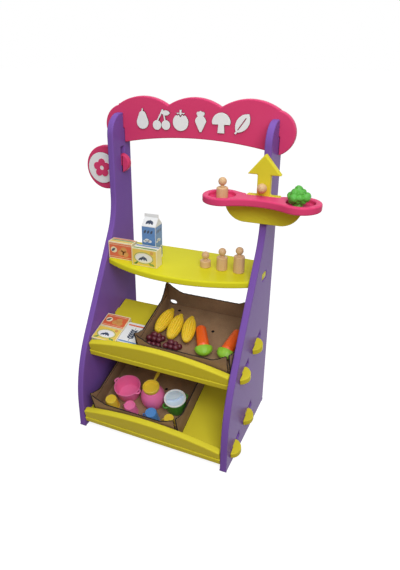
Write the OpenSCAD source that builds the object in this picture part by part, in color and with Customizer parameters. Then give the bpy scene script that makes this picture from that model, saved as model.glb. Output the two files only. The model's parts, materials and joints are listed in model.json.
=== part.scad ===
// Toy market stall for a play room, with its balance, price sign and play goods.
// Millimetres. X runs to the right, Y to the back, Z up.
// The stall is drawn with X = 0 midway between the side panels, Y = 0 at the
// front of their feet and Z = 0 on the floor. in_frame() then moves every
// piece so that the origin is the middle of the whole piece's box on the floor.

/* [Boards] */
// Thickness of every painted board
board = 20; // [18:1:22]
// Gap round a tab, tenon or halving in its slot
joint_gap = 0.3; // [0.3:0.1:0.6]
// Gap under a loose piece that rests on something
rest_gap = 0.3; // [0.3:0.1:0.5]

/* [Side panels] */
// Width over the two side panels
stall_w = 500; // [490:5:540]
// Depth of a side panel on the floor
panel_depth = 380; // [370:5:400]
// Height of the upright front edge above the floor
foot_rise = 87; // [67:5:107]
// Radius of the front edge where it starts to lean back
lower_bend_r = 420; // [380:10:460]
// Radius of the front edge where it turns upright again
upper_bend_r = 200; // [180:10:220]
// Height that this bend reaches above the balance's lower edge
bend_over = 19; // [14:1:20]
// Depth of the upright post
post_depth = 110; // [104:2:120]
// Height of the post above its halving with the header
post_over = 48; // [44:1:54]
// Radius of the post's front top corner
post_nose_r = 60; // [45:1:62]
// Radius of the post's back top corner
post_heel_r = 12; // [6:1:16]
// Radius of the foot's corners
foot_r = 8; // [4:1:14]

/* [Header] */
// Distance from the header's front face to the panels' back edge
header_inset = 38; // [36:1:44]
// Height of the halving between header and post
lap_z = 897; // [887:1:907]
// Height of the three top lobes above the halving
lobe_top = 96; // [90:1:104]
// Radius of a top lobe
lobe_r = 150; // [144:1:158]
// Distance between two top lobes
lobe_pitch = 163; // [155:1:166]
// Radius of a side lobe
side_lobe_r = 62; // [56:1:66]
// Distance from the middle of a post to the side lobe's centre, inwards
side_lobe_in = 9; // [4:1:12]
// Height of a side lobe's centre above the halving
side_lobe_up = 9; // [4:1:14]
// Distance from the middle to the inside of the outer notches
notch_x = 228; // [220:1:232]
// Height of the outer notches above the halving
notch_up = 60; // [54:1:64]
// Height of the lower edge below the halving, at the posts
header_drop = 44; // [38:1:48]
// Rise of the arched lower edge in the middle
header_arch = 25; // [15:1:32]

/* [Header motifs] */
// Thickness of a raised motif
motif_t = 4; // [3:0.5:6]
// Height of a motif over its base line
motif_h = 60; // [50:1:62]
// Distance between two motifs
motif_pitch = 62; // [60:1:68]
// Sideways place of the middle of the row
motif_row_x = -8; // [-12:1:0]
// Height of the base line above the halving
motif_up = 2; // [0:1:8]

/* [Top shelf] */
// Height of the top shelf's upper face
counter_z = 519; // [507:2:537]
// Distance from the panels' front foot to the shelf's front corners
counter_front = 205; // [200:1:215]
// Distance that the front edge bows out
counter_bow = 59; // [50:1:64]
// Distance from the panels' back edge to the shelf's back corners
counter_back_inset = 14; // [10:1:20]
// Distance that the back edge bows out
counter_back_bow = 8; // [4:1:14]
// Distance from the panels' front foot to the tenon
tenon_y = 266; // [255:1:275]
// Length of the tenon along the panel
tenon_l = 38; // [34:1:48]

/* [Sloping shelves] */
// Slope of the two lower shelves, degrees
shelf_tilt = 16; // [14:1:18]
// Depth of a sloping shelf along its slope
shelf_depth = 252; // [246:2:258]
// Distance from the panels' front foot to the middle shelf's front edge
middle_front = 58; // [52:1:66]
// Height of the middle shelf's front edge
middle_z = 261; // [255:1:269]
// Distance from the panels' front foot to the bottom shelf's front edge
bottom_front = 2; // [0:1:10]
// Height of the bottom shelf's front edge
bottom_z = 39; // [36:1:43]
// Radius of the half-round tabs that hook the shelves
tab_r = 28; // [26:0.5:30]
// Distance from the panel's face inwards to the middle of a half-round head
head_in = 5; // [3:0.5:7]
// Distance from the front edge to the middle of the first tab
tab_first = 58; // [54:1:64]
// Distance between the two tabs on one side
tab_pitch = 120; // [114:1:126]
// Distance that a tab drops to lock behind its slot
hook_drop = 28; // [24:1:30]
// Distance that a half-round head stands above its neck
head_over = 2; // [1:0.5:4]
// Distance that a lip stands behind the shelf's front edge
lip_setback = 2; // [1:0.5:4]
// Height of a lip at its ends
lip_end = 29; // [24:1:34]
// Height of a lip in the middle
lip_mid = 60; // [55:1:65]
// Radius of a hidden dowel
dowel_r = 4; // [3:0.5:5]
// Depth of a dowel in each piece
dowel_in = 13; // [10:1:15]
// Gap round a glued dowel
dowel_gap = 0.05; // [0.05:0.01:0.1]
// Room past a dowel's end
dowel_slack = 0.5; // [0.3:0.1:1]
// Distance between two dowels of a lip
dowel_pitch = 150; // [130:5:170]

/* [Price sign] */
// Distance from the panels' back edge to the sign's front face
sign_inset = 62; // [60:1:66]
// Radius of the sign
sign_r = 69; // [64:1:74]
// Distance from the panel's outer face to the sign's centre
sign_out = 40; // [34:1:46]
// Height of the sign's centre
sign_z = 776; // [757:1:787]
// Radius of the white face plate
face_r = 49; // [44:1:49]
// Thickness of the white face plate
face_t = 3; // [2:0.5:4]
// Thickness of the raised flower on the face plate
mark_t = 2; // [1.5:0.5:3]
// Height of the hook's middle above the sign's centre
hook_up = 18; // [14:1:22]
// Height of the sign's neck in its slot
sign_neck = 36; // [30:1:40]
// Distance that the sign lifts before it comes out
sign_lift = 21; // [18:1:24]

/* [Balance] */
// Height of the balance's pivot
pivot_z = 782; // [772:1:792]
// Radius of the pivot peg
pivot_r = 5; // [4:0.5:6]
// Gap round the peg in the balance board
running_gap = 0.06; // [0.04:0.01:0.09]
// Gap between balance board and post
swing_gap = 2; // [1.8:0.1:2.5]
// Radius of the peg's ball head
ball_r = 13; // [11:0.5:15]
// Length of the peg inside the post
peg_in = 40; // [30:1:50]
// Height of the pivot above the beam's upper face
beam_drop = 23; // [21:1:26]
// Distance from the pivot to the middle of a pan
pan_out = 106; // [102:1:112]
// Radius of the beam's round ends
beam_end_r = 54; // [50:1:56]
// Half the width of the beam's waist
waist_half = 25; // [22:1:28]
// Distance from the board's front face to the beam's middle line
beam_forward = 23; // [20:1:24]
// Radius of a pan's hollow
pan_r = 37; // [35:1:40]
// Depth of a pan's hollow
pan_deep = 12; // [9:1:14]
// Length of a dowel between board and beam
beam_dowel_l = 28; // [24:1:32]
// Distance from the pivot's line to a dowel
beam_dowel_x = 28; // [26:1:34]
// Half the width of the boat under the beam
boat_half = 107; // [100:1:112]
// Height of the boat under the beam
boat_h = 61; // [60:1:70]
// Radius of the boat's lower corners
boat_r = 58; // [50:1:60]
// Half the width of the board in the beam's notch
neck_half = 46; // [42:1:50]
// Half the width of the arrow's stem
stem_half = 18; // [16:1:20]
// Height of the arrow's shoulders above the pivot
shoulder_up = 32; // [28:1:36]
// Half the width of the arrow's head
head_half = 46; // [42:1:50]
// Height of the arrow's head
head_h = 55; // [48:1:58]

/* [Weights] */
// Radius of a weight's body
weight_r = 16; // [14:0.5:17]
// Radius of a weight's ball
knob_r = 11.5; // [10:0.5:12]
// Radius of a weight's neck
neck_r = 6; // [5:0.5:7]
// Height of the neck that shows under the ball
neck_gap = 4; // [3:0.5:5]
// Width of the bevel round a weight's shoulder
shoulder = 3; // [1:0.5:4]
// Height of the small weight
small_h = 48; // [46:1:52]
// Height of the weight on the pan
pan_weight_h = 58; // [54:1:62]
// Height of the medium weight
medium_h = 67; // [62:1:72]
// Height of the large weight
large_h = 78; // [74:1:85]
// Distance between two weights on the top shelf
weight_pitch = 52; // [45:1:56]
// Distance from the right side panel to the last weight
weight_side = 50; // [46:1:60]
// Distance from the panels' front foot to the row of weights
weight_y = 260; // [230:1:280]
// Radius of the broccoli's crown lumps
lump_r = 14.5; // [13:0.5:16]
// Radius of the middle lump of the crown
crown_r = 20; // [18:0.5:21]
// Height of the middle lump's centre
crown_z = 35; // [32:1:37]
// Distance from the middle to the outer lumps
ring_r = 18; // [16:0.5:19]
// Height of the outer lumps' centres
ring_z = 23; // [21:1:26]
// Radius of the stalk at its foot
stalk_foot_r = 14; // [12:0.5:15]
// Radius of the stalk at its top
stalk_top_r = 16; // [15:0.5:17]
// Height of the stalk
stalk_h = 20; // [18:1:22]
// Wall of the hollow broccoli
broccoli_wall = 1.7; // [1.4:0.1:2]
// Distance that the broccoli stands from its pan's middle, inwards
broccoli_in = 8; // [4:1:8]

/* [Packs] */
// Width of a printed pack
pack_w = 84; // [78:1:88]
// Height of a printed pack
pack_h = 56; // [50:1:58]
// Thickness of a printed pack
pack_t = 35; // [30:1:38]
// Distance from the panels' front foot to the standing red pack
red_pack_y = 207; // [205:1:220]
// Distance from the panels' front foot to the standing yellow pack
yellow_pack_y = 186; // [182:1:192]
// Sideways gap between the two standing packs
pack_gap = 10; // [4:1:20]
// Gap round the packs that lie on the middle shelf
lie_gap = 2; // [1:0.5:3]
// Distance from the tray's front to the flour pack
flour_back = 8; // [4:1:14]
// Distance from the left side panel to the milk carton's middle
carton_side = 131; // [124:1:138]
// Distance from the panels' front foot to the carton's middle
carton_y = 256; // [252:1:275]
// Width of the milk carton
carton_w = 47; // [44:1:50]
// Height of the milk carton up to its shoulders
carton_h = 112; // [105:1:120]
// Height of the carton's gable
gable_h = 22; // [18:1:26]
// Height of the carton's closing fin
fin_h = 11; // [8:1:14]
// Thickness of the carton's closing fin
fin_t = 3; // [2:0.5:4]
// Length of the flour pack along the slope
flour_l = 86; // [80:1:90]
// Width of the flour pack
flour_w = 71; // [66:1:74]

/* [Trays] */
// Depth of a card tray
tray_d = 244; // [238:2:248]
// Thickness of the card
card = 4; // [3:0.5:5]
// Height of a tray's walls
tray_wall = 61; // [56:1:66]
// Height of a tray's corners
tray_corner = 93; // [88:1:98]
// Width of a corner's level top
corner_flat = 5; // [3:1:8]
// Width of the slope from a corner down to the wall
corner_run = 51; // [42:1:56]
// Distance from the tray's end to the middle of a hand hole
grip_in = 17; // [16:1:24]
// Height of a hand hole's middle
grip_up = 15; // [14:1:22]
// Half the width of a hand hole's straight part
grip_half = 3; // [2:1:4]
// Radius of a hand hole's round ends
grip_r = 9; // [7:0.5:10]
// Radius of an air hole in the floor
vent_r = 5; // [4:0.5:6]
// Distance from the tray's left end to the left air hole
left_vent_in = 47; // [40:1:56]
// Distance from the tray's back to the left air hole
left_vent_back = 27; // [20:1:34]
// Distance from the tray's right end to the right air hole
right_vent_in = 112; // [100:1:120]
// Distance from the tray's back to the right air hole
right_vent_back = 85; // [76:1:94]
// Distance from the right side panel to the upper tray
upper_side = 3; // [2:1:6]
// Distance from the left side panel to the lower tray
lower_side = 25; // [20:1:28]
// Distance from a lip to the tray
tray_back = 4; // [3:0.5:6]

/* [Play food] */
// Length of a corn cob
corn_l = 108; // [100:1:112]
// Radius of a corn cob
corn_r = 21; // [19:0.5:21.5]
// Length of a cob's stub
stub_l = 7; // [5:1:9]
// Radius of a cob's stub
stub_r = 8; // [6:0.5:9]
// Radius of a grape
grape_r = 9.5; // [8:0.5:9.5]
// Length of a carrot
carrot_l = 90; // [84:1:94]
// Radius of a carrot at its top
carrot_r = 19; // [16:0.5:20]
// Radius of a carrot's leaf dome
leaf_r = 27; // [24:0.5:28]
// Height of a carrot's leaf dome
leaf_t = 32; // [28:1:34]

/* [Play dishes] */
// Wall of the play dishes
dish_wall = 2.5; // [2:0.5:3]
// Radius of the wide pot's rim
pot_r = 44; // [41:0.5:45]
// Height of the wide pot
pot_h = 44; // [40:1:48]
// Largest radius of the jug
jug_r = 39; // [36:0.5:40]
// Height of the jug
jug_h = 66; // [60:1:68]
// Radius of the small pan's rim
skillet_r = 27; // [25:0.5:28]
// Depth of the small pan
skillet_h = 14; // [12:1:18]
// Length of the small pan's handle
handle_l = 38; // [30:1:44]
// Width of the small pan's handle
handle_w = 10; // [8:1:12]
// Thickness of the small pan's handle
handle_t = 5; // [4:0.5:6]
// Radius of the lidded pot's rim
stew_r = 34; // [31:0.5:35]
// Height of the lidded pot
stew_h = 46; // [42:1:50]
// Thickness of the lid
lid_t = 4; // [3:0.5:5]
// Length of the lid's grip
grip_l = 50; // [44:1:54]
// Width of the lid's grip
grip_w = 18; // [14:1:20]
// Height of the lid's grip
grip_t = 8; // [6:0.5:9]
// Ring radius of the pots' lugs
lug_r = 9; // [7:0.5:10]
// Rod radius of the pots' lugs
lug_rod = 3; // [2:0.5:3.5]
// Ring radius of a cup's lug
cup_lug_r = 7; // [6:0.5:8]
// Rod radius of a cup's lug
cup_lug_rod = 2.2; // [1.8:0.1:2.6]
// Radius of a cup's mouth
cup_r = 23; // [21:0.5:23.5]
// Height of a cup
cup_h = 38; // [34:1:40]
// Size of the small cup against the others
small_share = 0.85; // [0.8:0.01:0.95]

/* [Hidden] */
$fn = 72;
arc_steps = 32;
// Reach of a cut past the face it opens, and of a neck into its head
cut = 1;
weld = 0.01;
// Height in which the motifs are drawn
motif_drawn = 56;
// Distance from a lip's end to the shelf's side, and from the face plate to the sign's edge
lip_side = 1.5;
face_edge = 2;
// Taper of the small pan, and the depth of its handle under the rim
skillet_taper = 1.5;
handle_down = 1;
// Distance that the lid reaches over the pot's rim
lid_over = 1;
half_w = stall_w / 2;
inner = half_w - board;
bay_half = inner - joint_gap;
post_front = panel_depth - post_depth;
bends = lower_bend_r + upper_bend_r;
upper_bend_z = pivot_z - beam_drop - board - boat_h + bend_over;
bend_rise = upper_bend_z - foot_rise;
// Straight stretch of the front edge between its bends, and its lean from upright
lean_l = sqrt(pow(post_front - bends, 2) + pow(bend_rise, 2) - pow(bends, 2));
lean = atan2(bends, lean_l) + atan2(post_front - bends, bend_rise);
post_top = lap_z + post_over;
post_x = half_w - board / 2;
header_y = panel_depth - header_inset;
sign_y = panel_depth - sign_inset;
counter_back = panel_depth - counter_back_inset;
neck_l = 2 * tab_r - hook_drop - head_over;
lip_half = bay_half - lip_side;
lip_front_y = lip_setback + board;
balance_y = post_front - swing_gap - board;
beam_z = pivot_z - beam_drop;
beam_y = balance_y - beam_forward;
waist_curve_r = (pow(pan_out, 2) + pow(waist_half, 2) - pow(beam_end_r, 2))
  / (2 * (beam_end_r - waist_half));
waist_curve_y = waist_half + waist_curve_r;
waist_a = atan2(waist_curve_y, -pan_out);
tab_x = half_w + joint_gap;
hook_r = (sign_lift + sign_neck) / 2;
hook_z = sign_z + hook_up;
hook_low = hook_z - hook_r + sign_lift;
sign_x = -(half_w + sign_out);
sign_cut_x = -(half_w + joint_gap);
face_x = sign_cut_x - face_edge - face_r;
peg_ball_y = balance_y - joint_gap - ball_r;
tray_s = lip_front_y + tray_back;
tray_w = 2 * inner - pack_w - flour_w - 3 * lie_gap - upper_side;
upper_tray_x = inner - upper_side - tray_w;
lower_tray_x = -(inner - lower_side);
pack_x = -(inner - lie_gap);
flat_pack_s = lip_front_y + lie_gap;
flour_x = pack_x + pack_w + lie_gap;
in_tray = 2 * rest_gap + card;
// Size of the tray for which food and dishes are laid out, and their size in this one
laid_w = 296;
laid_d = 244;
fit = min(tray_w / laid_w, tray_d / laid_d);
counter_lift = counter_z + rest_gap;
weight_x = inner - weight_side;
carton_x = carton_side - inner;
left_end = sign_x - sign_r;
right_end = post_x + pan_out + beam_end_r;
lip_edge_y = bottom_front + lip_setback * cos(shelf_tilt) - lip_mid * sin(shelf_tilt);
front_end = min(0, lip_edge_y);
back_end = max(panel_depth, counter_back + counter_back_bow);
frame_x = (left_end + right_end) / 2;
frame_y = (front_end + back_end) / 2;

// Colours of the finishes
purple = "#6f4596";
pink = "#cf3f6a";
yellow = "#dcd22a";
white = "#eef3f5";
beech = "#d2a982";
kraft = "#8a6a4d";

// Points on a round stretch of an outline; skip leaves out both end points
function arc(c, r, from, to, skip = 0) =
  [for (i = [skip:arc_steps - skip]) let (a = from + (to - from) * i / arc_steps)
    [c[0] + r * cos(a), c[1] + r * sin(a)]];

// Points on a bowed edge between two ends at one level
function bow(half, level, rise, from, to) =
  let (r = (half * half + rise * rise) / (2 * abs(rise)), s = sign(rise))
  [for (i = [0:arc_steps]) let (x = from + (to - from) * i / arc_steps)
    [x, level + rise - s * (r - sqrt(r * r - x * x))]];

// The part of a disc past the line x = in, moved back to x = 0
module half_disc(r, in = 0)
  translate([-in, 0])
    intersection() {
      circle(r = r);
      translate([in, -r]) square([r, 2 * r]);
    }

// Places

module in_frame() translate([-frame_x, -frame_y, 0]) children();

module middle_slope()
  translate([0, middle_front, middle_z]) rotate([shelf_tilt, 0, 0]) children();

module bottom_slope()
  translate([0, bottom_front, bottom_z]) rotate([shelf_tilt, 0, 0]) children();

// A flat shape in X and Z, made t thick backwards from the plane y
module facing(y, t) translate([0, y + t, 0]) rotate([90, 0, 0]) linear_extrude(t) children();

// Side panels

module panel_outline()
  polygon(concat(
    arc([panel_depth - foot_r, foot_r], foot_r, 0, -90),
    arc([foot_r, foot_r], foot_r, -90, -180),
    arc([lower_bend_r, foot_rise], lower_bend_r, 180, 180 - lean),
    arc([post_front - upper_bend_r, upper_bend_z], upper_bend_r, -lean, 0),
    arc([post_front + post_nose_r, post_top - post_nose_r], post_nose_r, 180, 90),
    arc([panel_depth - post_heel_r, post_top - post_heel_r], post_heel_r, 90, 0)));

// The two slots that take one sloping shelf's tabs
module tab_slots()
  for (i = [0, 1])
    translate([-stall_w, tab_first + i * tab_pitch - tab_r + hook_drop - joint_gap, -board - joint_gap])
      cube([2 * stall_w, 2 * tab_r + 2 * joint_gap, board + 2 * joint_gap]);

// Everything cut out of both panels
module panel_cuts() {
  middle_slope() tab_slots();
  bottom_slope() tab_slots();
  translate([-stall_w, tenon_y - joint_gap, counter_z - board - joint_gap])
    cube([2 * stall_w, tenon_l + 2 * joint_gap, board + 2 * joint_gap]);
  translate([-stall_w, header_y - joint_gap, lap_z])
    cube([2 * stall_w, board + 2 * joint_gap, post_top]);
}

module panel_blank(x)
  difference() {
    translate([x, 0, 0]) rotate([90, 0, 90]) linear_extrude(board) panel_outline();
    panel_cuts();
  }

module side_panel_left() color(purple) in_frame()
  difference() {
    panel_blank(-half_w);
    translate([-half_w - cut, sign_y - joint_gap, hook_low - joint_gap])
      cube([board + 2 * cut, board + 2 * joint_gap, 2 * (hook_r + joint_gap)]);
  }

module side_panel_right() color(purple) in_frame()
  difference() {
    panel_blank(half_w - board);
    translate([post_x, post_front + peg_in + dowel_slack, pivot_z]) rotate([90, 0, 0])
      cylinder(r = pivot_r + dowel_gap, h = peg_in + dowel_slack + cut);
  }

// Header

module header_outline()
  difference() {
    union() {
      for (i = [-1, 0, 1])
        translate([i * lobe_pitch, lap_z + lobe_top - lobe_r])
          intersection() {
            circle(r = lobe_r);
            translate([-lobe_pitch / 2 - cut, lobe_r - lobe_top])
              square([lobe_pitch + 2 * cut, lobe_top]);
          }
      // Inside the posts the arch takes the place of the end lobe's lower part
      for (s = [0, 1])
        mirror([s, 0]) difference() {
          translate([post_x - side_lobe_in, lap_z + side_lobe_up]) circle(r = side_lobe_r);
          translate([0, lap_z - side_lobe_r]) square([post_x - board / 2, side_lobe_r]);
        }
      polygon(concat(
        bow(post_x, lap_z - header_drop, header_arch, -post_x, post_x),
        [[post_x, lap_z + side_lobe_up], [notch_x, lap_z + notch_up],
          [-notch_x, lap_z + notch_up], [-post_x, lap_z + side_lobe_up]]));
    }
    for (s = [-1, 1])
      translate([s * post_x - board / 2 - joint_gap, lap_z - header_drop - side_lobe_r])
        square([board + 2 * joint_gap, header_drop + side_lobe_r + rest_gap]);
  }

module header_board() color(pink) in_frame() facing(header_y, board) header_outline();

// Header motifs, each drawn on its base line with its middle at x = 0

module motif(i)
  color(white) in_frame() translate([motif_row_x + (i - 2.5) * motif_pitch, 0, lap_z + motif_up])
    facing(header_y - motif_t, motif_t) scale(motif_h / motif_drawn) children();

module motif_pear() motif(0) {
  translate([0, 18.5]) circle(r = 18.5);
  translate([0, 38]) circle(r = 11);
  polygon([[-17.4, 25], [17.4, 25], [10.3, 42], [-10.3, 42]]);
  translate([-2, 46]) square([4, 10]);
}

module motif_cherries() motif(1) {
  translate([-13, 13]) circle(r = 13);
  translate([14, 14]) circle(r = 13);
  polygon([[-14, 22], [-10, 22], [6, 54], [2, 56]]);
  polygon([[11, 22], [15, 22], [6, 56], [2, 54]]);
  translate([11, 46]) intersection() {
    translate([3, -8]) circle(r = 15);
    translate([3, 8]) circle(r = 15);
  }
}

module motif_tomato() motif(2) {
  difference() {
    translate([0, 23]) circle(r = 23);
    polygon([[-16, 47], [-10, 40], [-5, 43], [0, 36], [5, 43], [10, 40], [16, 47]]);
  }
  polygon([[-13, 48], [-8.5, 43.5], [-4.5, 46], [0, 40], [4.5, 46], [8.5, 43.5], [13, 48],
    [3, 48], [3, 56], [-3, 56], [-3, 48]]);
}

module motif_carrot() motif(3) {
  polygon(concat([[-3, 0], [3, 0]], arc([0, 27], 16, 0, 180)));
  for (a = [-34, 0, 34])
    translate([0, 38]) rotate(a) translate([-4.5, 0]) square([9, 12.5]);
  for (a = [-34, 0, 34])
    translate([0, 38]) rotate(a) translate([0, 12.5]) circle(r = 4.5);
}

module motif_mushroom() motif(4) {
  polygon(concat(arc([0, 27], 26, 0, 180), [[-24, 22], [24, 22]]));
  polygon([[-10, 0], [10, 0], [8, 24], [-8, 24]]);
}

module motif_leaf() motif(5)
  translate([0, 28]) rotate(-35) {
    difference() {
      intersection() {
        translate([-16, 0]) circle(r = 33);
        translate([16, 0]) circle(r = 33);
      }
      translate([-1.2, -22]) square([2.4, 38]);
    }
    translate([-2.5, -34]) square([5, 12.2]);
  }

// Top shelf

module top_shelf() color(yellow) in_frame()
  translate([0, 0, counter_z - board]) linear_extrude(board) {
    polygon(concat(
      bow(bay_half, counter_front, -counter_bow, -bay_half, bay_half),
      bow(bay_half, counter_back, counter_back_bow, bay_half, -bay_half)));
    translate([-half_w, tenon_y]) square([stall_w, tenon_l]);
  }

// Sloping shelves with their lips

module shelf_outline() {
  translate([-bay_half, 0]) square([2 * bay_half, shelf_depth]);
  for (i = [0, 1]) {
    c = tab_first + i * tab_pitch;
    translate([-tab_x - weld, c - tab_r + hook_drop]) square([2 * (tab_x + weld), neck_l]);
    for (s = [-1, 1])
      translate([s * tab_x, c]) rotate(s > 0 ? 0 : 180) half_disc(tab_r, head_in);
  }
}

// Bores for a lip's dowels, or the dowels themselves
module dowel_row(r, deep)
  for (i = [-1, 0, 1])
    translate([i * dowel_pitch, lip_setback + board / 2, -deep]) cylinder(r = r, h = 2 * deep, $fn = 32);

module sloping_shelf()
  difference() {
    translate([0, 0, -board]) linear_extrude(board) shelf_outline();
    dowel_row(dowel_r + dowel_gap, dowel_in + dowel_slack);
  }

module lip()
  difference() {
    facing(lip_setback, board)
      polygon(concat([[lip_half, 0], [-lip_half, 0]],
        bow(lip_half, lip_end, lip_mid - lip_end, -lip_half, lip_half)));
    dowel_row(dowel_r + dowel_gap, dowel_in + dowel_slack);
  }

module middle_shelf() color(yellow) in_frame() middle_slope() sloping_shelf();
module middle_lip() color(yellow) in_frame() middle_slope() lip();
module middle_lip_dowels() color(beech) in_frame() middle_slope() dowel_row(dowel_r, dowel_in);
module bottom_shelf() color(yellow) in_frame() bottom_slope() sloping_shelf();
module bottom_lip() color(yellow) in_frame() bottom_slope() lip();
module bottom_lip_dowels() color(beech) in_frame() bottom_slope() dowel_row(dowel_r, dowel_in);

// Price sign

module price_board() color(pink) in_frame()
  facing(sign_y, board) {
    difference() {
      translate([sign_x, sign_z]) circle(r = sign_r);
      translate([sign_cut_x, sign_z - sign_r - cut]) square([2 * sign_r, 2 * (sign_r + cut)]);
    }
    translate([sign_cut_x - weld, hook_low])
      square([board + 2 * (joint_gap + weld), sign_neck - head_over]);
    translate([-inner + joint_gap, hook_z]) half_disc(hook_r, head_in);
  }

module price_face() color(white) in_frame()
  facing(sign_y - face_t, face_t) translate([face_x, sign_z - 1]) circle(r = face_r);

module price_mark() color(pink) in_frame()
  facing(sign_y - face_t - mark_t, mark_t) translate([face_x, sign_z - 1])
    difference() {
      union() {
        circle(r = face_r * 0.3);
        for (i = [0:4])
          rotate(90 + i * 72) translate([face_r * 0.36, 0]) circle(r = face_r * 0.24);
      }
      circle(r = face_r * 0.15);
    }

// Balance

module balance_outline()
  translate([post_x, pivot_z]) {
    b = -beam_drop - board;
    polygon(concat(
      [[head_half, shoulder_up], [0, shoulder_up + head_h], [-head_half, shoulder_up],
        [-stem_half, shoulder_up], [-stem_half, -beam_drop], [-neck_half, -beam_drop],
        [-neck_half, b], [-boat_half, b]],
      arc([-boat_half + boat_r, b - boat_h + boat_r], boat_r, 180, 270),
      arc([boat_half - boat_r, b - boat_h + boat_r], boat_r, 270, 360),
      [[boat_half, b], [neck_half, b], [neck_half, -beam_drop], [stem_half, -beam_drop],
        [stem_half, shoulder_up]]));
  }

// Bores for the two dowels between board and beam, or the dowels themselves
module beam_dowels(r, slack)
  for (s = [-1, 1])
    translate([post_x + s * beam_dowel_x, balance_y + beam_dowel_l / 2 + slack, beam_z - board / 2])
      rotate([90, 0, 0]) cylinder(r = r, h = beam_dowel_l + 2 * slack, $fn = 32);

module balance_board() color(yellow) in_frame()
  difference() {
    facing(balance_y, board) balance_outline();
    translate([post_x, balance_y + board + cut, pivot_z]) rotate([90, 0, 0])
      cylinder(r = pivot_r + running_gap, h = board + 2 * cut);
    beam_dowels(dowel_r + dowel_gap, dowel_slack);
  }

module beam_outline()
  difference() {
    polygon(concat(
      arc([pan_out, 0], beam_end_r, -waist_a, waist_a),
      arc([0, waist_curve_y], waist_curve_r, waist_a - 180, -waist_a, 1),
      arc([-pan_out, 0], beam_end_r, 180 - waist_a, 180 + waist_a),
      arc([0, -waist_curve_y], waist_curve_r, waist_a, 180 - waist_a, 1)));
    translate([-neck_half - joint_gap, beam_forward]) square([2 * neck_half + 2 * joint_gap, 2 * beam_end_r]);
  }

module balance_beam() color(pink) in_frame()
  difference() {
    translate([post_x, beam_y, beam_z - board]) linear_extrude(board) beam_outline();
    for (s = [-1, 1])
      translate([post_x + s * pan_out, beam_y, beam_z - pan_deep]) cylinder(r = pan_r, h = pan_deep + cut);
    beam_dowels(dowel_r + dowel_gap, dowel_slack);
  }

module balance_dowels() color(beech) in_frame() beam_dowels(dowel_r, 0);

module pivot_peg() color(beech) in_frame()
  translate([post_x, peg_ball_y, pivot_z]) rotate([-90, 0, 0])
    rotate_extrude()
      union() {
        half_disc(ball_r);
        square([pivot_r, post_front + peg_in - peg_ball_y]);
      }

// Weights

module weight(h) color(beech)
  rotate_extrude() {
    body = h - 2 * knob_r - neck_gap;
    edge = body - shoulder;
    square([weight_r, edge]);
    polygon([[0, edge], [weight_r, edge], [weight_r - shoulder, body], [0, body]]);
    square([neck_r, h - knob_r]);
    translate([0, h - knob_r]) half_disc(knob_r);
  }

module on_counter(x, y) in_frame() translate([x, y, counter_lift]) children();
module on_pan(s) in_frame()
  translate([post_x + s * pan_out, beam_y, beam_z - pan_deep + rest_gap]) children();

module weight_small() on_counter(weight_x - 2 * weight_pitch, weight_y) weight(small_h);
module weight_medium() on_counter(weight_x - weight_pitch, weight_y) weight(medium_h);
module weight_large() on_counter(weight_x, weight_y) weight(large_h);
module weight_on_pan() on_pan(-1) weight(pan_weight_h);

// The broccoli's outside, or its hollow inside when w is the wall
module broccoli_body(w) {
  translate([0, 0, w]) cylinder(r1 = stalk_foot_r - w, r2 = stalk_top_r - w, h = stalk_h);
  translate([0, 0, crown_z]) sphere(r = crown_r - w, $fn = 48);
  for (i = [0:5])
    rotate(i * 60 + 15) translate([ring_r, 0, ring_z]) sphere(r = lump_r - w, $fn = 48);
}

module broccoli() color("#5fa83f") on_pan(1) translate([-broccoli_in, 0, 0])
  difference() {
    broccoli_body(0);
    broccoli_body(broccoli_wall);
  }

// Packs and carton

module milk_carton() color(white) on_counter(carton_x, carton_y) {
  half = carton_w / 2;
  translate([-half, -half, 0]) cube([carton_w, carton_w, carton_h]);
  translate([-half, 0, carton_h]) rotate([90, 0, 90]) linear_extrude(carton_w) {
    polygon([[-half, 0], [half, 0], [fin_t / 2, gable_h], [-fin_t / 2, gable_h]]);
    translate([-fin_t / 2, gable_h - fin_t]) square([fin_t, fin_h + fin_t]);
  }
}

module pack_red_upright() color("#d8583a") on_counter(pack_x, red_pack_y)
  cube([pack_w, pack_t, pack_h]);

module pack_yellow_upright() color("#e6c63a") on_counter(pack_x + pack_w + pack_gap, yellow_pack_y)
  cube([pack_w, pack_t, pack_h]);

module pack_yellow_flat() color("#e6c63a") in_frame() middle_slope()
  translate([pack_x, flat_pack_s, rest_gap]) cube([pack_w, pack_h, pack_t]);

module pack_red_flat() color("#d8583a") in_frame() middle_slope()
  translate([pack_x, flat_pack_s + pack_h + lie_gap, rest_gap]) cube([pack_w, pack_h, pack_t]);

module flour_pack() color(white) in_frame() middle_slope()
  translate([flour_x, tray_s + flour_back, rest_gap]) cube([flour_w, flour_l, pack_t]);

// Card trays

module tray_wall_outline(l)
  polygon([[0, 0], [l, 0], [l, tray_corner], [l - corner_flat, tray_corner],
    [l - corner_flat - corner_run, tray_wall], [corner_flat + corner_run, tray_wall],
    [corner_flat, tray_corner], [0, tray_corner]]);

module tray() color(kraft)
  difference() {
    union() {
      cube([tray_w, tray_d, card]);
      for (s = [0, tray_d - card]) facing(s, card) tray_wall_outline(tray_w);
      for (x = [0, tray_w - card])
        translate([x, 0, 0]) rotate([90, 0, 90]) linear_extrude(card) tray_wall_outline(tray_d);
    }
    for (x = [grip_in, tray_w - grip_in])
      facing(tray_d - card - cut, card + 2 * cut) translate([x, grip_up]) {
        translate([-grip_half, -grip_r]) square([2 * grip_half, 2 * grip_r]);
        for (s = [-1, 1]) translate([s * grip_half, 0]) circle(r = grip_r);
      }
    for (at = [[left_vent_in, left_vent_back], [tray_w - right_vent_in, right_vent_back]])
      translate([at[0], tray_d - at[1], -cut]) cylinder(r = vent_r, h = card + 2 * cut);
  }

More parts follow.
